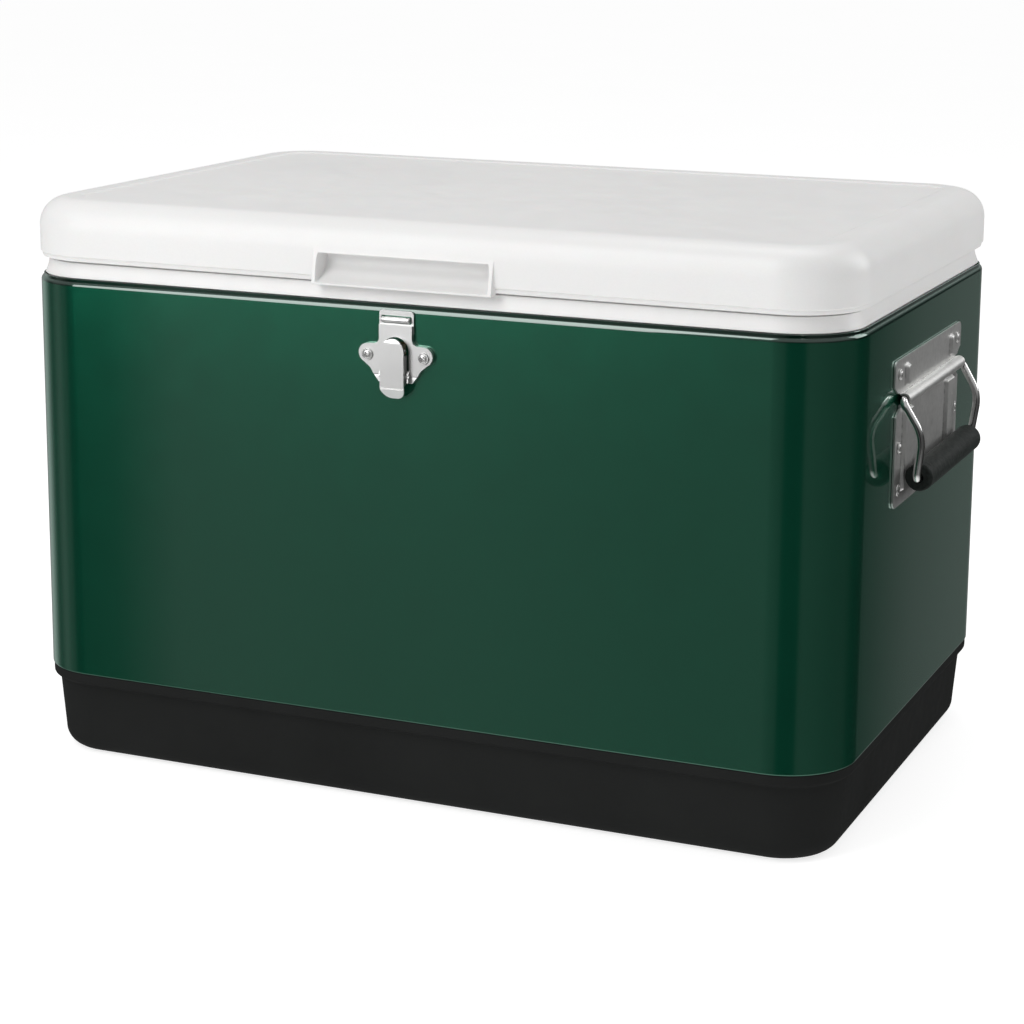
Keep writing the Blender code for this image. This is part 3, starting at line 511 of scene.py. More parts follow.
def make_lid_shell():
    """The outer shell: a bordered panel, a large rounding, a tucked skirt and the grip's scoop."""
    columns = lid_columns()
    rings = [loop(0.110, LID_TOP - LID_PANEL_DROP, 0.030, columns)]
    for step in range(9):
        across = step / 8
        height = LID_TOP - LID_PANEL_DROP * (1 - smooth(across))
        rings.append(loop(LID_PANEL_INSET - 0.0030 * across, height, None, columns))
    for angle in range(0, 90, 6):
        c, s = cos_sin(angle)
        rings.append(loop(LID_EDGE * (1 - s), LID_TOP - LID_EDGE * (1 - c), None, columns))
    sections = [lid_section(x) for x in columns]
    far = lid_section(1.0)
    first_front = 3 * (CORNER_STEPS + 1)
    for level, (out, height) in enumerate(far):
        ring = loop(-out, BASE + height, None, columns)
        for place, x in enumerate(columns):
            front_out, front_height = sections[place][level]
            ring[first_front + place] = (x, -HALF_Y - front_out, BASE + front_height)
        rings.append(ring)
    for angle in (90, 70, 50, 30, 0):
        c, s = cos_sin(angle)
        reach = LID_EDGE - LINER_SHEET
        rings.append(loop(LID_EDGE - reach * s, LID_TOP - LID_EDGE + reach * c, None, columns))
    rings.append(loop(0.0300, LID_TOP - LINER_SHEET, None, columns))
    rings.append(loop(0.110, LID_TOP - LINER_SHEET, 0.030, columns))
    return stand_in(flattened(lofted("lid_shell_look", rings, False)), "lid_shell")


def well_loop(inset, height):
    """A loop whose corners keep their distance from the corners of the well's mouth."""
    return loop(inset, height, WELL_CORNER + WALL - inset)


def make_lid_liner():
    """The inner skin of the lid: an edge strip on the rim and the plug that enters the well."""
    low = RIM_TOP + GAP
    rings = [loop(0.110, LID_SKIN, 0.030), well_loop(0.0425, LID_SKIN), well_loop(0.0410, 0.3503)]
    rings += [well_loop(0.0400, 0.3511), well_loop(0.0376, 0.3545), well_loop(0.0366, low - 0.0012)]
    rings += [well_loop(0.0362, low - 0.0003), well_loop(0.0352, low)]
    rings += loops(low, (0.0068, 0), (0.0062, 0.0003), (0.0062, 0.0014))
    rings += [well_loop(0.0382, low + 0.0014), well_loop(0.0396, 0.3560)]
    rings += [well_loop(0.0422, 0.3525), loop(0.110, 0.3525, 0.030)]
    liner = lofted("lid_liner_look", rings, False)
    slot = rectangle(-0.0118, -0.0097, RIM_TOP - BASE - 0.004, RIM_TOP - BASE + 0.006)
    boolean(liner, prism("slot", slot, latch_section, -0.0083, 0.0083))
    return stand_in(flattened(liner), "lid_liner")


def make_striker():
    """The bent steel tongue under the lid, with the eye that the latch's hook enters."""
    low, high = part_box("lid_striker")
    front = -low.y - HALF_Y
    foot = high.z - BASE
    back = front - LEAF_SHEET
    outline = [(front, low.z - BASE), (front, foot - 0.0016)]
    outline += arc(front - 0.0016, foot - 0.0016, 0.0016, 0, 90, 5)
    outline += [(front - 0.0180, foot), (front - 0.0180, foot - LEAF_SHEET)]
    outline += [(back, foot - LEAF_SHEET), (back, low.z - BASE)]
    tongue = prism("lid_striker_look", outline, latch_section, -STRIKER_HALF, STRIKER_HALF)
    eye = rectangle(*STRIKER_EYE, 0.0012)
    boolean(tongue, prism("eye", eye, on_latch, back - 0.002, front + 0.002))
    return stand_in(bevelled(tongue, 0.0003), "lid_striker")


# Fasteners

def screw_mesh():
    """A pan-head screw with a cross recess, its seat at the origin and its head towards +Z."""
    dome = [(0.0019 - 0.0008 * (1 - math.cos(math.radians(a))), 0.0027 * math.sin(math.radians(a)))
            for a in (80, 66, 50, 34, 20, 8)]
    profile = [(-0.0030, 0.0016), (0.0003, 0.0016), (0.0003, 0.0037), (0.0005, 0.0040)]
    profile += [(0.0009, 0.0040), (0.0012, 0.0038), (0.0012, 0.0033), (0.0007, 0.0030)]
    profile += [(0.0007, 0.0027)] + dome
    head = turned("screw_head", profile, Vector(), Vector((0, 0, 1)), 36)

    def as_drawn(u, v, depth):
        return u, v, depth

    for reach_x, reach_y in ((0.0018, 0.00055), (0.00055, 0.0018)):
        arm = rectangle(-reach_x, reach_x, -reach_y, reach_y)
        boolean(head, prism("arm", arm, as_drawn, 0.0004, 0.0040))
    mesh = head.data
    bpy.data.objects.remove(head)
    return mesh


def add_screws(mesh):
    """One screw in place of each CAD screw, each turned by an amount of its own."""
    for number, node in enumerate(sorted(n for n in frame["nodes"] if "_screw_" in n)):
        low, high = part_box(node)
        middle = (low + high) / 2
        if node.startswith("handle"):
            direction = RIGHT if middle.x > 0 else LEFT
            face = HALF_X + GAP + HANDLE_SHEET
            seat = Vector((direction.x * face, middle.y, middle.z))
        elif node.startswith("latch"):
            direction = FRONT
            seat = Vector((middle.x, -HALF_Y - PLATE_OUT, middle.z))
        else:
            direction = BACK
            seat = Vector((middle.x, HALF_Y + GAP + LEAF_SHEET, middle.z))
        piece = bpy.data.objects.new(node + "_look", mesh)
        bpy.context.scene.collection.objects.link(piece)
        spin = Matrix.Rotation(math.radians(37 * number % 90), 4, "Z")
        facing = direction.to_track_quat("Z", "Y").to_matrix().to_4x4()
        piece.matrix_world = Matrix.Translation(seat) @ facing @ spin
        stand_in(piece, node)


# Hinges

def make_hinges():
    """Two butt hinges, each with two leaves, interleaved knuckles and a pin with domed ends."""
    for label, side in (("left", -1), ("right", 1)):
        middle = side * HINGE_X
        half = HINGE_WIDTH / 2 - GAP
        axis_out = HINGE_AXIS.y - HALF_Y
        for leaf, near, far, spans in HINGE_LEAVES:
            low, high = min(near, far), max(near, far)
            outline = rectangle(middle - half, middle + half, low, high, 0.0030)
            name = "hinge_%s_leaf_%s" % (leaf, label)
            plate = prism(name + "_look", outline, on_back, GAP, GAP + LEAF_SHEET)
            towards = 1 if leaf == "lid" else -1
            for span in spans:
                centre = middle + span * HINGE_WIDTH / 3
                width = HINGE_WIDTH / 3 - 2 * GAP
                start = Vector((centre - width / 2, HINGE_AXIS.y, HINGE_AXIS.z))
                curl = [(GAP, near + towards * 0.0010), (GAP + LEAF_SHEET, near + towards * 0.0010)]
                curl += [(axis_out - 0.0002, HINGE_AXIS.z + towards * 0.0039)]
                curl += [(axis_out - 0.0036, HINGE_AXIS.z + towards * 0.0012)]
                curl = prism("curl", curl, back_section, start.x, centre + width / 2)
                boolean(plate, curl, "UNION")
                barrel = [(0, KNUCKLE_RADIUS), (width, KNUCKLE_RADIUS)]
                boolean(plate, turned("barrel", barrel, start, RIGHT), "UNION")
            pin_way = Vector((middle - 0.040, HINGE_AXIS.y, HINGE_AXIS.z))
            boolean(plate, turned("way", [(0, HINGE_WAY), (0.080, HINGE_WAY)], pin_way, RIGHT, 24))
            stand_in(bevelled(plate, 0.00025, 2), name)
        low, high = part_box("hinge_pin_" + label)
        radius = (high.z - low.z) / 2
        length = high.x - low.x
        profile = [(0, radius * 0.3), (0.0003, radius * 0.7), (0.0008, radius * 0.95)]
        profile += [(0.0014, radius), (0.0014, 0.0020)]
        profile += [(length - along, wide) for along, wide in reversed(profile)]
        start = Vector((low.x, HINGE_AXIS.y, HINGE_AXIS.z))
        pin = turned("hinge_pin_%s_look" % label, profile, start, RIGHT, 24)
        stand_in(pin, "hinge_pin_" + label)


# Latch

def latch_outline(shrink):
    """Half of the ears and neck of the latch plate, for x above zero, in order from the top."""
    neck = 0.0121 - shrink
    points = [(neck, 0.2757 - shrink)]
    points += arc(0.0121 + 0.0040, 0.2625 + 0.0040, 0.0040 + shrink, 180, 262, 8)
    points += arc(LATCH_SCREW_X, LATCH_SCREW_Z + 0.0010, 0.0065 - shrink, 80, -50, 14)
    points += arc(0.0262, 0.2394, 0.0100 + shrink, 128, 160, 5)
    points += [(0.0125 - shrink, 0.2372 + shrink)]
    return points


def make_latch_plate():
    """The pressed cover plate with its ears, the windowed tab above it, and the lever's slot."""
    plate = prism("latch_plate_look", mirrored(latch_outline(0)), on_latch, GAP, PLATE_OUT)
    pocket = mirrored(latch_outline(PLATE_SHEET))
    boolean(plate, prism("pocket", pocket, on_latch, -0.001, PLATE_OUT - PLATE_SHEET))
    tab_half = arc(0.0101, 0.2827, 0.0025, 90, 0, 8) + [(0.0126, 0.2700)]
    boolean(plate, prism("tab", mirrored(tab_half), on_latch, GAP, 0.0016), "UNION")
    slot_half = arc(0, 0.2580, LEVER_HALF + 0.0010, 90, 0, 14) + [(LEVER_HALF + 0.0010, 0.2300)]
    boolean(plate, prism("slot", mirrored(slot_half[1:]), on_latch, -0.002, 0.006))
    boolean(plate, prism("window", rectangle(*TAB_WINDOW, 0.0012), on_latch, -0.002, 0.006))
    for side in (-1, 1):
        inner = side * (LEVER_HALF + 0.0006)
        cheek = [(GAP, 0.2378), (0.0068, 0.2378), (0.0062, 0.2440), (0.0050, 0.2455), (GAP, 0.2455)]
        boolean(plate, prism("cheek", cheek, latch_section, inner, inner + side * 0.0014), "UNION")
    way = Vector(on_latch(-0.020, PIVOT_Z, PIVOT_OUT))
    boolean(plate, turned("way", [(0, PIVOT_WAY), (0.040, PIVOT_WAY)], way, RIGHT, 24))
    return stand_in(bevelled(plate, 0.00030, 3), "latch_plate")


def make_lever():
    """The lever: a round-topped face with a turned-in foot, two flanges on the pin, and a hook."""
    inside = LEVER_OUT - LEVER_SHEET
    outer = [(0.0082, LEVER_TOP), (LEVER_OUT - 0.0003, LEVER_TOP - 0.0012)]
    outer += [(LEVER_OUT, LEVER_TOP - 0.0026), (LEVER_OUT, LEVER_BEND + 0.0005)]
    outer += [(LEVER_OUT - 0.0007, LEVER_BEND), (LEVER_OUT - 0.0002, LEVER_BEND - 0.0005)]
    outer.append((LEVER_FOOT_OUT, LEVER_FOOT))
    inner = [(LEVER_FOOT_OUT - 0.0010, LEVER_FOOT + 0.0006), (inside, LEVER_BEND)]
    inner += [(inside, LEVER_TOP - 0.0026), (0.0070, LEVER_TOP)]
    lever = prism("latch_lever_look", outer + inner, latch_section, -LEVER_HALF, LEVER_HALF)
    outline = arc(0, LEVER_TOP - LEVER_HALF, LEVER_HALF, 90, 0, 16)
    outline += arc(LEVER_HALF - 0.0076, LEVER_FOOT + 0.0076, 0.0076, 0, -80, 10)
    boolean(lever, prism("outline", mirrored(outline[1:]), on_latch, -0.002, 0.020), "INTERSECT")
    behind = LEVER_OUT - 0.0006
    for side in (-1, 1):
        flange = [(0.0032, 0.2385), (behind, 0.2350), (behind, 0.2560), (0.0032, 0.2560)]
        outside = side * (LEVER_HALF - 0.0001)
        flange = prism("flange", flange, latch_section, outside, outside - side * LEVER_SHEET)
        boolean(lever, flange, "UNION")
    hook = [(behind, HOOK_LOW), (HOOK_OUT, HOOK_LOW), (HOOK_OUT, HOOK_LOW + 0.0010)]
    hook += [(HOOK_OUT + 0.0040, HOOK_HIGH), (behind, HOOK_HIGH)]
    boolean(lever, prism("hook", hook, latch_section, -0.0040, 0.0040), "UNION")
    way = Vector(on_latch(-0.020, PIVOT_Z, PIVOT_OUT))
    boolean(lever, turned("way", [(0, PIVOT_WAY), (0.040, PIVOT_WAY)], way, RIGHT, 24))
    return stand_in(bevelled(lever, 0.00045, 4), "latch_lever")


def make_latch_small_parts():
    """The pivot pin, the torsion spring and the roll in the tab's window."""
    low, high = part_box("latch_pin")
    length = high.x - low.x
    profile = [(0, 0.0008), (0.0003, 0.0014), (length - 0.0003, 0.0014), (length, 0.0008)]
    start = Vector((low.x, -HALF_Y - PIVOT_OUT, BASE + PIVOT_Z))
    stand_in(turned("latch_pin_look", profile, start, RIGHT, 24), "latch_pin")
    low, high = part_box("latch_guide_roll")
    length = high.x - low.x
    centre = (low + high) / 2
    profile = [(0, 0.0010), (0.0002, 0.0016), (0.0008, 0.0020), (0.0020, 0.0020), (0.0022, 0.0017)]
    profile += [(0.0026, 0.0017), (0.0028, 0.0020)]
    profile += [(length - along, radius) for along, radius in reversed(profile)]
    start = Vector((low.x, centre.y, centre.z))
    roll = turned("latch_guide_roll_look", profile, start, RIGHT, 32)
    stand_in(flattened(roll), "latch_guide_roll")
    turns, radius, pitch = 3, 0.0024, 0.0011
    path = []
    for i in range(turns * 24 + 1):
        angle = 2 * math.pi * i / 24
        out = PIVOT_OUT - radius * math.cos(angle)
        x = pitch * (i / 24 - turns / 2)
        path.append(Vector(on_latch(x, PIVOT_Z + radius * math.sin(angle), out)))
    path = [path[0] - Vector((0, 0, 0.0060))] + path + [path[-1] + Vector((0, 0, 0.0080))]
    stand_in(swept("latch_spring_look", path, 0.00035, 10), "latch_spring")


# Handles

def rib_height(y, height):
    """How far the pressed ribs stand up at a place on a handle plate."""
    raised = 0.0
    for low, high, middle, half in RIBS:
        across = abs(abs(y) - middle) - half + RIB_ROUNDING
        along = abs(height - (low + high) / 2) - (high - low) / 2 + RIB_ROUNDING
        outside = math.hypot(max(across, 0), max(along, 0)) - RIB_ROUNDING
        distance = outside + min(max(across, along), 0)
        raised = max(raised, RIB_HEIGHT * smooth(-distance / RIB_SLOPE))
    return raised


def spread(low, high, pitch):
    """Places from low to high, about a pitch apart."""
    count = max(1, round((high - low) / pitch))
    return [low + (high - low) * i / count for i in range(count + 1)]


def make_handle_plate(side, label):
    """A pressed plate: a barrel curled round the bail's wire, and ribs raised from the sheet."""
    near, far = GAP, GAP + HANDLE_SHEET
    axis_z = HANDLE_AXIS_Z
    start = axis_z - BARREL_RADIUS * math.sin(math.radians(130))
    end = axis_z + BARREL_RADIUS * math.sin(math.radians(130))
    front = [(far, z) for z in spread(HANDLE_FOOT - 0.001, start - 0.0006, 0.0007)]
    front += arc(HANDLE_AXIS_OUT, axis_z, BARREL_RADIUS, -126, 126, 24)
    front += [(far, z) for z in spread(end + 0.0006, HANDLE_TOP + 0.001, 0.0007)]
    back = [(near, HANDLE_TOP + 0.001), (near, axis_z + 0.0045)]
    back += arc(HANDLE_AXIS_OUT, axis_z, 0.0032, 130, -130, 16)
    back += [(near, axis_z - 0.0045), (near, HANDLE_FOOT - 0.001)]
    rings = []
    ribbed = spread(0.0450, 0.0695, 0.0005)
    right = spread(0, 0.0420, 0.0140) + ribbed + spread(0.0720, 0.0950, 0.0115)
    for y in [-y for y in reversed(right)] + right[1:]:
        ring = [(side * (HALF_X + out + rib_height(y, z)), y, BASE + z) for out, z in front]
        ring += [(side * (HALF_X + out), y, BASE + z) for out, z in back]
        rings.append(ring)
    plate = lofted("handle_plate_%s_look" % label, rings, False)
    half = HANDLE_HALF
    outline = [(half - 0.0060, HANDLE_TOP)]
    outline += arc(half - 0.0045, HANDLE_TOP - 0.0045, 0.0045, 90, 0, 8)
    outline += [(half, axis_z + 0.0100), (half - 0.0090, axis_z + 0.0045)]
    outline += [(BARREL_HALF, axis_z + 0.0045), (BARREL_HALF, axis_z - 0.0065)]
    outline.append((half - 0.0050, axis_z - 0.0110))
    outline += arc(half - 0.0110, HANDLE_FOOT + 0.0060, 0.0060, 0, -90, 8)
    trim = prism("outline", mirrored(outline), end_face(side), -0.002, 0.020)
    boolean(plate, trim, "INTERSECT")
    return stand_in(flattened(plate), "handle_plate_" + label)


def make_bail(side, label):
    """The bail of bent wire, and the grip moulded on it."""
    face = end_face(side)
    corners = [(BARREL_HALF + 0.0045, HANDLE_AXIS_OUT, HANDLE_AXIS_Z)]
    corners.append((BARREL_HALF + 0.0030, KNEE_OUT, KNEE_Z))
    corners += [(GRIP_HALF + 0.0060, abs(GRIP_AXIS.x) - HALF_X, GRIP_AXIS.z - BASE)]
    corners += [(-y, out, height) for y, out, height in reversed(corners)]
    path = [Vector(face(y, height, out)) for y, out, height in corners]
    wire = rounded_path(path, (0.0050, KNEE_RADIUS, 0.0050, 0.0050, KNEE_RADIUS, 0.0050), 12)
    stand_in(swept("bail_%s_look" % label, wire, WIRE_RADIUS, 24, True), "bail_" + label)
    start = Vector((side * abs(GRIP_AXIS.x), -GRIP_HALF, GRIP_AXIS.z))
    length = 2 * GRIP_HALF
    edge = 0.0022
    profile = [(0.0008, WIRE_RADIUS + GAP), (0.0003, WIRE_RADIUS + 0.0006)]
    profile.append((0, WIRE_RADIUS + 0.0014))
    for angle in range(90, -1, -15):
        c, s = cos_sin(angle)
        profile.append((edge * (1 - s), GRIP_RADIUS - edge * (1 - c)))
    profile += [(length - along, radius) for along, radius in reversed(profile)]
    grip = turned("grip_%s_look" % label, profile, start, BACK, 56, True)
    stand_in(flattened(grip), "grip_" + label)


# Drain

def make_drain():
    """The flanged spout low on the left end, and its ribbed plug."""
    face = Vector((-HALF_X, 0, DRAIN_Z))
    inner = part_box("drain_spout")[1].x + HALF_X
    profile = [(GAP, 0.0080), (GAP, 0.0128), (0.0006, 0.0130), (0.0022, 0.0130), (0.0030, 0.0126)]
    profile += [(0.0034, 0.0118), (0.0034, 0.0054), (0.0030, 0.0050)]
    profile += [(-inner, 0.0050), (-inner, 0.0080)]
    stand_in(flattened(turned("drain_spout_look", profile, face, LEFT, 48, True)), "drain_spout")
    profile = [(-0.0120, 0.0030), (-0.0116, 0.0036), (-0.0100, 0.0047), (0.0037, 0.0047)]
    profile += [(0.0037, 0.0095), (0.0042, 0.0100), (0.0052, 0.0100), (0.0058, 0.0094)]
    profile += [(0.0066, 0.0094), (0.0072, 0.0098), (0.0090, 0.0094), (0.0098, 0.0088)]
    profile += [(0.0102, 0.0078), (0.0102, 0.0020)]
    stand_in(flattened(turned("drain_plug_look", profile, face, LEFT, 48)), "drain_plug")


# Materials

class Nodes:
    """Short ways to add nodes to a tree."""

    def __init__(self, tree):
        self.tree = tree

    def add(self, kind, settings=None, **sockets):
        made = self.tree.nodes.new(kind)
        for setting, value in (settings or {}).items():
            setattr(made, setting, value)
        for socket, value in sockets.items():
            self.feed(made, socket.replace("_", " "), value)
        return made

    def feed(self, made, socket, value):
        """Link an output to a socket, or set the socket to a number or colour."""
        if isinstance(value, bpy.types.NodeSocket):
            self.tree.links.new(value, made.inputs[socket])
        else:
            made.inputs[socket].default_value = value

    def ramp(self, value, *stops, easing="LINEAR"):
        """A colour ramp of (position, colour) stops."""
        made = self.add("ShaderNodeValToRGB", Fac=value)
        made.color_ramp.interpolation = easing
        elements = made.color_ramp.elements
        elements[0].position, elements[-1].position = stops[0][0], stops[-1][0]
        elements[0].color, elements[-1].color = (*stops[0][1], 1), (*stops[-1][1], 1)
        for position, colour in stops[1:-1]:
            elements.new(position).color = (*colour, 1)
        return made.outputs["Color"]

    def range(self, value, low, high, from_low=0.3, from_high=0.7):
        """Low to high, as the value goes from from_low to from_high."""
        return self.add("ShaderNodeMapRange", Value=value, From_Min=from_low, From_Max=from_high,
                        To_Min=low, To_Max=high).outputs["Result"]

    def combine(self, operation, first, second):
        made = self.add("ShaderNodeMath", {"operation": operation})
        self.feed(made, 0, first)
        self.feed(made, 1, second)
        return made.outputs[0]

    def mix(self, factor, first, second):
        """From the first colour at factor 0 to the second at 1."""
        made = self.add("ShaderNodeMix", {"data_type": "RGBA"})
        for socket, value in ((0, factor), (6, first), (7, second)):
            self.feed(made, socket, value)
        return made.outputs[2]


class Paint(Nodes):
    """A material with one Principled shader."""

    def __init__(self, name, **sockets):
        self.material = bpy.data.materials.new(name)
        self.material.use_nodes = True
        super().__init__(self.material.node_tree)
        self.shader = self.tree.nodes["Principled BSDF"]
        for socket, value in sockets.items():
            self.feed(self.shader, socket.replace("_", " "), value)

    def noise(self, scale, detail=3.0, roughness=0.5, stretch=(1, 1, 1)):
        place = self.add("ShaderNodeTexCoord").outputs["Object"]
        place = self.add("ShaderNodeMapping", Vector=place, Scale=stretch).outputs["Vector"]
        return self.add("ShaderNodeTexNoise", Vector=place, Scale=scale, Detail=detail,
                        Roughness=roughness).outputs["Fac"]

    def patches(self, scale, detail, dark, light, low=0.30, high=0.70):
        """Two shades of a colour, in soft patches."""
        return self.ramp(self.noise(scale, detail), (low, dark), (high, light))

    def bump(self, height, strength, distance, below=None):
        made = self.add("ShaderNodeBump", Height=height, Strength=strength, Distance=distance)
        if below is not None:
            self.tree.links.new(below, made.inputs["Normal"])
        return made.outputs["Normal"]

    def wear_and_hollow_shade(self, colour, wear_and_shade_colour, low=0.53, high=0.60):
        """A broken line of another colour: wear along sharp edges, or painted shade in hollows when
        low is above high.
        """
        edge = self.add("ShaderNodeNewGeometry").outputs["Pointiness"]
        edge = self.range(edge, 0.0, 1.0, low, high)
        broken = self.range(self.noise(300, 4), 0.0, 0.8, 0.40, 0.75)
        return self.mix(self.combine("MULTIPLY", edge, broken), colour, (*wear_and_shade_colour, 1))

    def done(self, colour, roughness, normal):
        for socket, value in (("Base Color", colour), ("Roughness", roughness), ("Normal", normal)):
            if value is not None:
                self.feed(self.shader, socket, value)
        return self.material


def green_enamel():
    """Clear-coated enamel, with a dark green painted shade over the folded top edge above its
    shoulder.
    """
    paint = Paint("green_enamel", Metallic=0.80, Specular_IOR_Level=0.2,
                  Specular_Tint=(0.60, 1.0, 0.86, 1), Coat_Weight=1.0, Coat_Roughness=0.03,
                  Coat_IOR=1.9)
    colour = paint.patches(7, 3, (0.0046, 0.1250, 0.0665), (0.0053, 0.1320, 0.0705))
    colour = paint.wear_and_hollow_shade(colour, (0.012, 0.150, 0.085))
    place = paint.add("ShaderNodeTexCoord").outputs["Object"]
    height = paint.add("ShaderNodeSeparateXYZ", Vector=place).outputs["Z"]
    shoulder = BELT_TOP - SHOULDER_HEIGHT
    # Painted shade: above the shoulder the set-back edge is coloured dark green, as if shaded by
    # the collar.
    painted_shade_above_shoulder = paint.range(height, 0.0, 1.0, shoulder - 0.0003, shoulder + 0.0003)
    colour = paint.mix(painted_shade_above_shoulder, colour, (0.0030, 0.0300, 0.0180, 1))
    roughness = paint.range(paint.noise(40, 4), 0.21, 0.24)
    return paint.done(colour, roughness, paint.bump(paint.noise(160, 1), 0.010, 0.0004))


def white_plastic():
    paint = Paint("white_plastic", Specular_IOR_Level=0.5, Subsurface_Weight=0.04,
                  Subsurface_Scale=0.002)
    colour = paint.patches(9, 4, (0.790, 0.785, 0.780), (0.815, 0.812, 0.806))
    speckle = paint.range(paint.noise(900, 2), 0.0, 0.20)
    colour = paint.mix(speckle, colour, (0.74, 0.735, 0.725, 1))
    roughness = paint.range(paint.noise(70, 4), 0.33, 0.42)
    grain = paint.bump(paint.noise(1500, 2), 0.06, 0.0002)
    return paint.done(colour, roughness, paint.bump(paint.noise(22, 2), 0.05, 0.0015, grain))


def black_plastic():
    paint = Paint("black_plastic", Specular_IOR_Level=0.02)
    colour = paint.patches(12, 4, (0.0150, 0.0156, 0.0153), (0.0182, 0.0190, 0.0186))
    colour = paint.wear_and_hollow_shade(colour, (0.030, 0.031, 0.030))
    roughness = paint.range(paint.noise(90, 4), 0.60, 0.70)
    return paint.done(colour, roughness, paint.bump(paint.noise(1100, 3), 0.20, 0.0003))


def foam():
    paint = Paint("foam")
    colour = paint.patches(60, 4, (0.70, 0.60, 0.36), (0.80, 0.71, 0.47))
    roughness = paint.range(paint.noise(200, 2), 0.85, 0.95)
    return paint.done(colour, roughness, paint.bump(paint.noise(900, 4), 0.5, 0.0006))


def satin_steel():
    """Rolled sheet, greyer in fine specks, with painted shade in the hollows along its ribs."""
    paint = Paint("satin_steel", Metallic=1.0)
    colour = paint.patches(14, 4, (0.84, 0.84, 0.83), (0.90, 0.90, 0.885))
    specks = paint.range(paint.noise(260, 3), 0.0, 0.25)
    colour = paint.mix(specks, colour, (0.50, 0.50, 0.49, 1))
    # Painted shade: darker grey in the hollows along the ribs, where the pressed creases would be
    # in shadow.
    colour = paint.wear_and_hollow_shade(colour, (0.12, 0.12, 0.12), 0.49, 0.45)
    roughness = paint.range(paint.noise(120, 4, 0.6, (1, 1, 6)), 0.44, 0.52)
    grain = paint.bump(paint.noise(700, 3, 0.6, (1, 1, 9)), 0.07, 0.0002)
    return paint.done(colour, roughness, grain)


def bright_steel():
    paint = Paint("bright_steel", Metallic=1.0)
    colour = paint.patches(20, 4, (0.72, 0.72, 0.715), (0.78, 0.78, 0.775))
    roughness = paint.range(paint.noise(160, 4, 0.6, (5, 1, 1)), 0.36, 0.44)
    grain = paint.bump(paint.noise(800, 3, 0.6, (7, 1, 1)), 0.06, 0.0002)
    return paint.done(colour, roughness, grain)


def black_rubber():
    paint = Paint("black_rubber", Specular_IOR_Level=0.2)
    colour = paint.patches(500, 3, (0.0060, 0.0085, 0.0075), (0.0145, 0.0190, 0.0170), 0.35, 0.65)
    roughness = paint.range(paint.noise(300, 3), 0.55, 0.70)
    grain = paint.bump(paint.noise(850, 4, 0.65), 0.55, 0.0005)
    return paint.done(colour, roughness, grain)


def wire_steel():
    paint = Paint("wire_steel", Metallic=1.0)
    colour = paint.patches(30, 4, (0.76, 0.76, 0.75), (0.84, 0.84, 0.83))
    roughness = paint.range(paint.noise(200, 4), 0.12, 0.20)
    return paint.done(colour, roughness, paint.bump(paint.noise(600, 3), 0.03, 0.0002))


def dress():
    """Give every piece the material of its slot. The bails are brighter than the pressed plates."""
    makers = (green_enamel, white_plastic, black_plastic, foam,
              satin_steel, bright_steel, black_rubber)
    materials = {make.__name__: make() for make in makers}
    wire = wire_steel()
    for piece in bpy.context.scene.objects:
        if piece.type != "MESH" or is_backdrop(piece):
            continue
        name = piece.get("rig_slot") or slot_of[piece["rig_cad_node"]]
        material = wire if piece.name.startswith("bail_") else materials[name]
        if piece.name.endswith("_look") and "_screw_" in piece.name:
            # The screws share one mesh, so each holds its own material.
            if not piece.material_slots:
                piece.data.materials.append(material)
            piece.material_slots[0].link = "OBJECT"
            piece.material_slots[0].material = material
            continue
        piece.data.materials.clear()
        piece.data.materials.append(material)


# Studio

FLOOR_HALF = 30.0
FLOOR_GLOW = 0.76
KEY_PLACE = Vector((-0.81, -1.65, 1.74))
KEY_SIZE = (1.00, 1.80)
KEY_POWER = 24.5
STRIP_PLACE = Vector((-1.04, -2.13, 0.60))
STRIP_SIZE = (1.00, 0.85)
STRIP_POWER = 11.0
FILL_PLACE = Vector((1.90, 1.50, 1.30))
FILL_SIZE = (1.4, 1.4)
FILL_POWER = 16.0
TOP_PLACE = Vector((0.10, 0.30, 2.60))
TOP_SIZE = (1.6, 1.2)
TOP_POWER = 15.0
# How bright the studio is round the horizon, at headings in degrees from +Y towards +X
SURROUND = ((-180, 0.07), (-170, 0.09), (-162, 0.12), (-154, 0.16), (-149.4, 0.18), (-147, 0.01),
            (-135, 0.02), (-124, 0.10), (-110, 0.19), (-92, 0.07), (-66, 0.48), (-40, 0.25),
            (-5, 0.20), (12, 0.15), (14, 0.10), (15.5, 0.01), (45, 0.01), (75, 0.05),
            (140, 0.08), (150, 0.01), (170, 0.01), (180, 0.07))
SKY_LEVEL = 0.46
GROUND_LEVEL = 1.0
CAMERA_PLACE = Vector((0.729, -1.709, 0.631))
CAMERA_YAW, CAMERA_PITCH, CAMERA_ROLL = 23.28, 11.76, 0.37
CAMERA_LENS = 90.16
CAMERA_SHIFT = -0.10


def make_floor():
    """A pale floor that glows a little, so that the light on it stays even out to its edges."""
    corners = rectangle(-FLOOR_HALF, FLOOR_HALF, -FLOOR_HALF, FLOOR_HALF)
    floor = solid("floor", [(x, y, 0) for x, y in corners], [(0, 1, 2, 3)])
    paint = Paint("floor", Specular_IOR_Level=0.0, Emission_Color=(1, 1, 1, 1),
                  Emission_Strength=FLOOR_GLOW)
    shade = paint.patches(3, 2, (0.49, 0.49, 0.49), (0.51, 0.51, 0.51), 0.0, 1.0)
    floor.data.materials.append(paint.done(shade, 0.9, None))
    floor.visible_glossy = False


def add_softbox(name, place, size, power, glossy_only=False):
    """A soft rectangle of light aimed at the chest. A glossy-only one shows only in reflections."""
    light = bpy.data.lights.new(name, "AREA")
    light.shape = "RECTANGLE"
    light.size, light.size_y = size
    light.energy = power
    holder = bpy.data.objects.new(name, light)
    holder.location = place
    holder.rotation_euler = (Vector((0, 0, 0.2)) - place).to_track_quat("-Z", "Y").to_euler()
    holder.visible_diffuse = not glossy_only
    bpy.context.scene.collection.objects.link(holder)


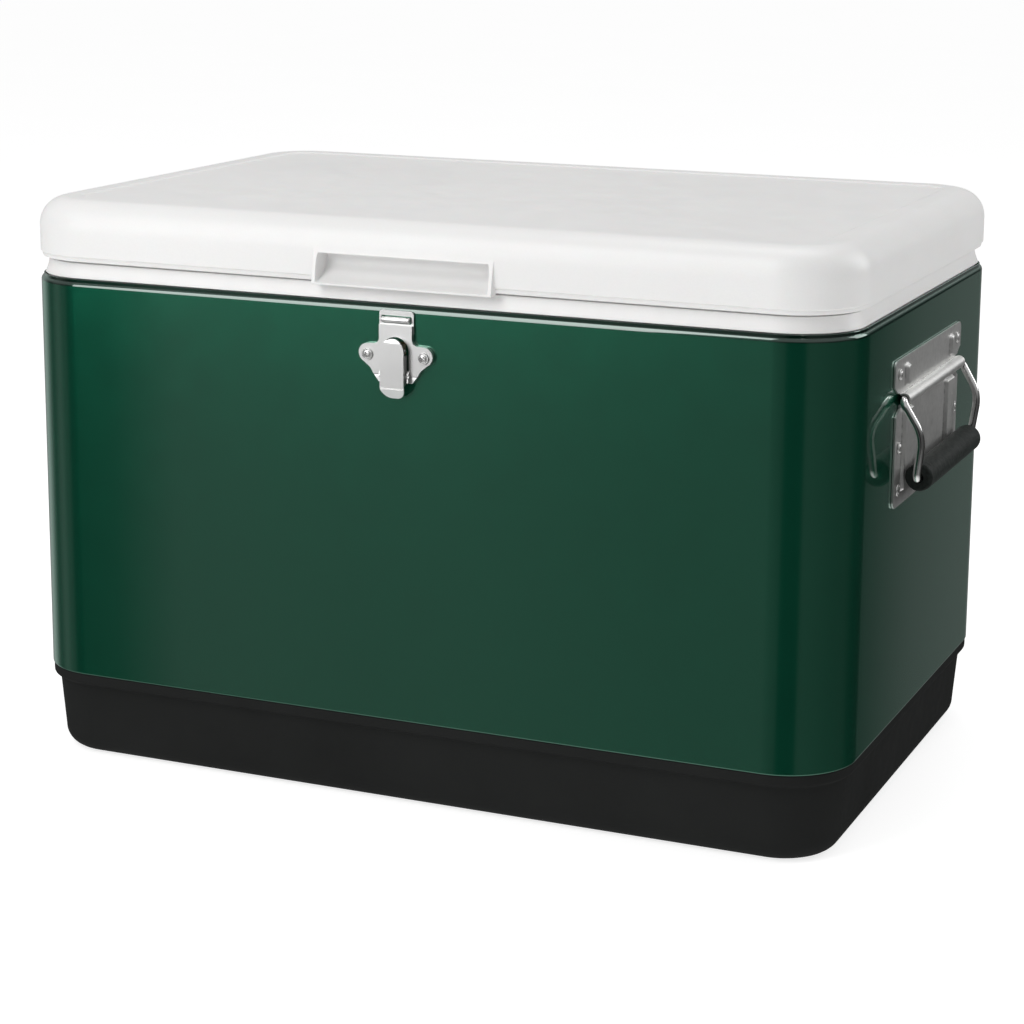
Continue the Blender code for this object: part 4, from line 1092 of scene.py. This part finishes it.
def make_world():
    """A soft studio round the chest: pale ahead of its front and right end, and dim between."""
    world = bpy.data.worlds.new("studio")
    world.use_nodes = True
    bpy.context.scene.world = world
    nodes = Nodes(world.node_tree)
    nodes.tree.nodes.clear()
    direction = nodes.add("ShaderNodeTexCoord").outputs["Generated"]
    axes = nodes.add("ShaderNodeSeparateXYZ", Vector=direction).outputs
    heading = nodes.combine("ARCTAN2", axes["X"], axes["Y"])
    turn = nodes.range(heading, 0.0, 1.0, -math.pi, math.pi)
    stops = [((angle + 180) / 360, (level, level, level)) for angle, level in SURROUND]
    horizon = nodes.ramp(turn, *stops, easing="EASE")
    above = nodes.range(axes["Z"], 0.0, 1.0, 0.02, 0.40)
    below = nodes.range(axes["Z"], 0.0, 1.0, -0.45, -0.92)
    upper = nodes.mix(above, horizon, (SKY_LEVEL, SKY_LEVEL, SKY_LEVEL, 1))
    lower = nodes.mix(below, upper, (GROUND_LEVEL, GROUND_LEVEL, GROUND_LEVEL, 1))
    studio = nodes.add("ShaderNodeBackground", Color=lower, Strength=1.0).outputs[0]
    backdrop = nodes.add("ShaderNodeBackground", Color=(1, 1, 1, 1), Strength=1.0).outputs[0]
    seen = nodes.add("ShaderNodeLightPath").outputs["Is Camera Ray"]
    both = nodes.add("ShaderNodeMixShader")
    for socket, value in enumerate((seen, studio, backdrop)):
        nodes.feed(both, socket, value)
    nodes.add("ShaderNodeOutputWorld", Surface=both.outputs[0])


def make_camera():
    camera = bpy.data.cameras.new("camera")
    camera.lens = CAMERA_LENS
    camera.shift_y = CAMERA_SHIFT
    holder = bpy.data.objects.new("camera", camera)
    yaw = Matrix.Rotation(math.radians(CAMERA_YAW), 4, "Z")
    pitch = Matrix.Rotation(math.radians(90 - CAMERA_PITCH), 4, "X")
    roll = Matrix.Rotation(math.radians(CAMERA_ROLL), 4, "Z")
    holder.matrix_world = Matrix.Translation(CAMERA_PLACE) @ yaw @ pitch @ roll
    bpy.context.scene.collection.objects.link(holder)
    bpy.context.scene.camera = holder


def make_studio():
    make_floor()
    make_world()
    add_softbox("key", KEY_PLACE, KEY_SIZE, KEY_POWER)
    add_softbox("strip", STRIP_PLACE, STRIP_SIZE, STRIP_POWER, glossy_only=True)
    add_softbox("fill", FILL_PLACE, FILL_SIZE, FILL_POWER)
    add_softbox("top", TOP_PLACE, TOP_SIZE, TOP_POWER)
    make_camera()
    bpy.context.scene.view_settings.view_transform = "Standard"


make_base_pan()
make_belt()
make_liner()
make_belt_seam()
make_lid_shell()
make_lid_liner()
make_striker()
make_hinges()
make_latch_plate()
make_lever()
make_latch_small_parts()
for end, end_label in ((1, "right"), (-1, "left")):
    make_handle_plate(end, end_label)
    make_bail(end, end_label)
make_drain()
add_screws(screw_mesh())
dress()
make_studio()
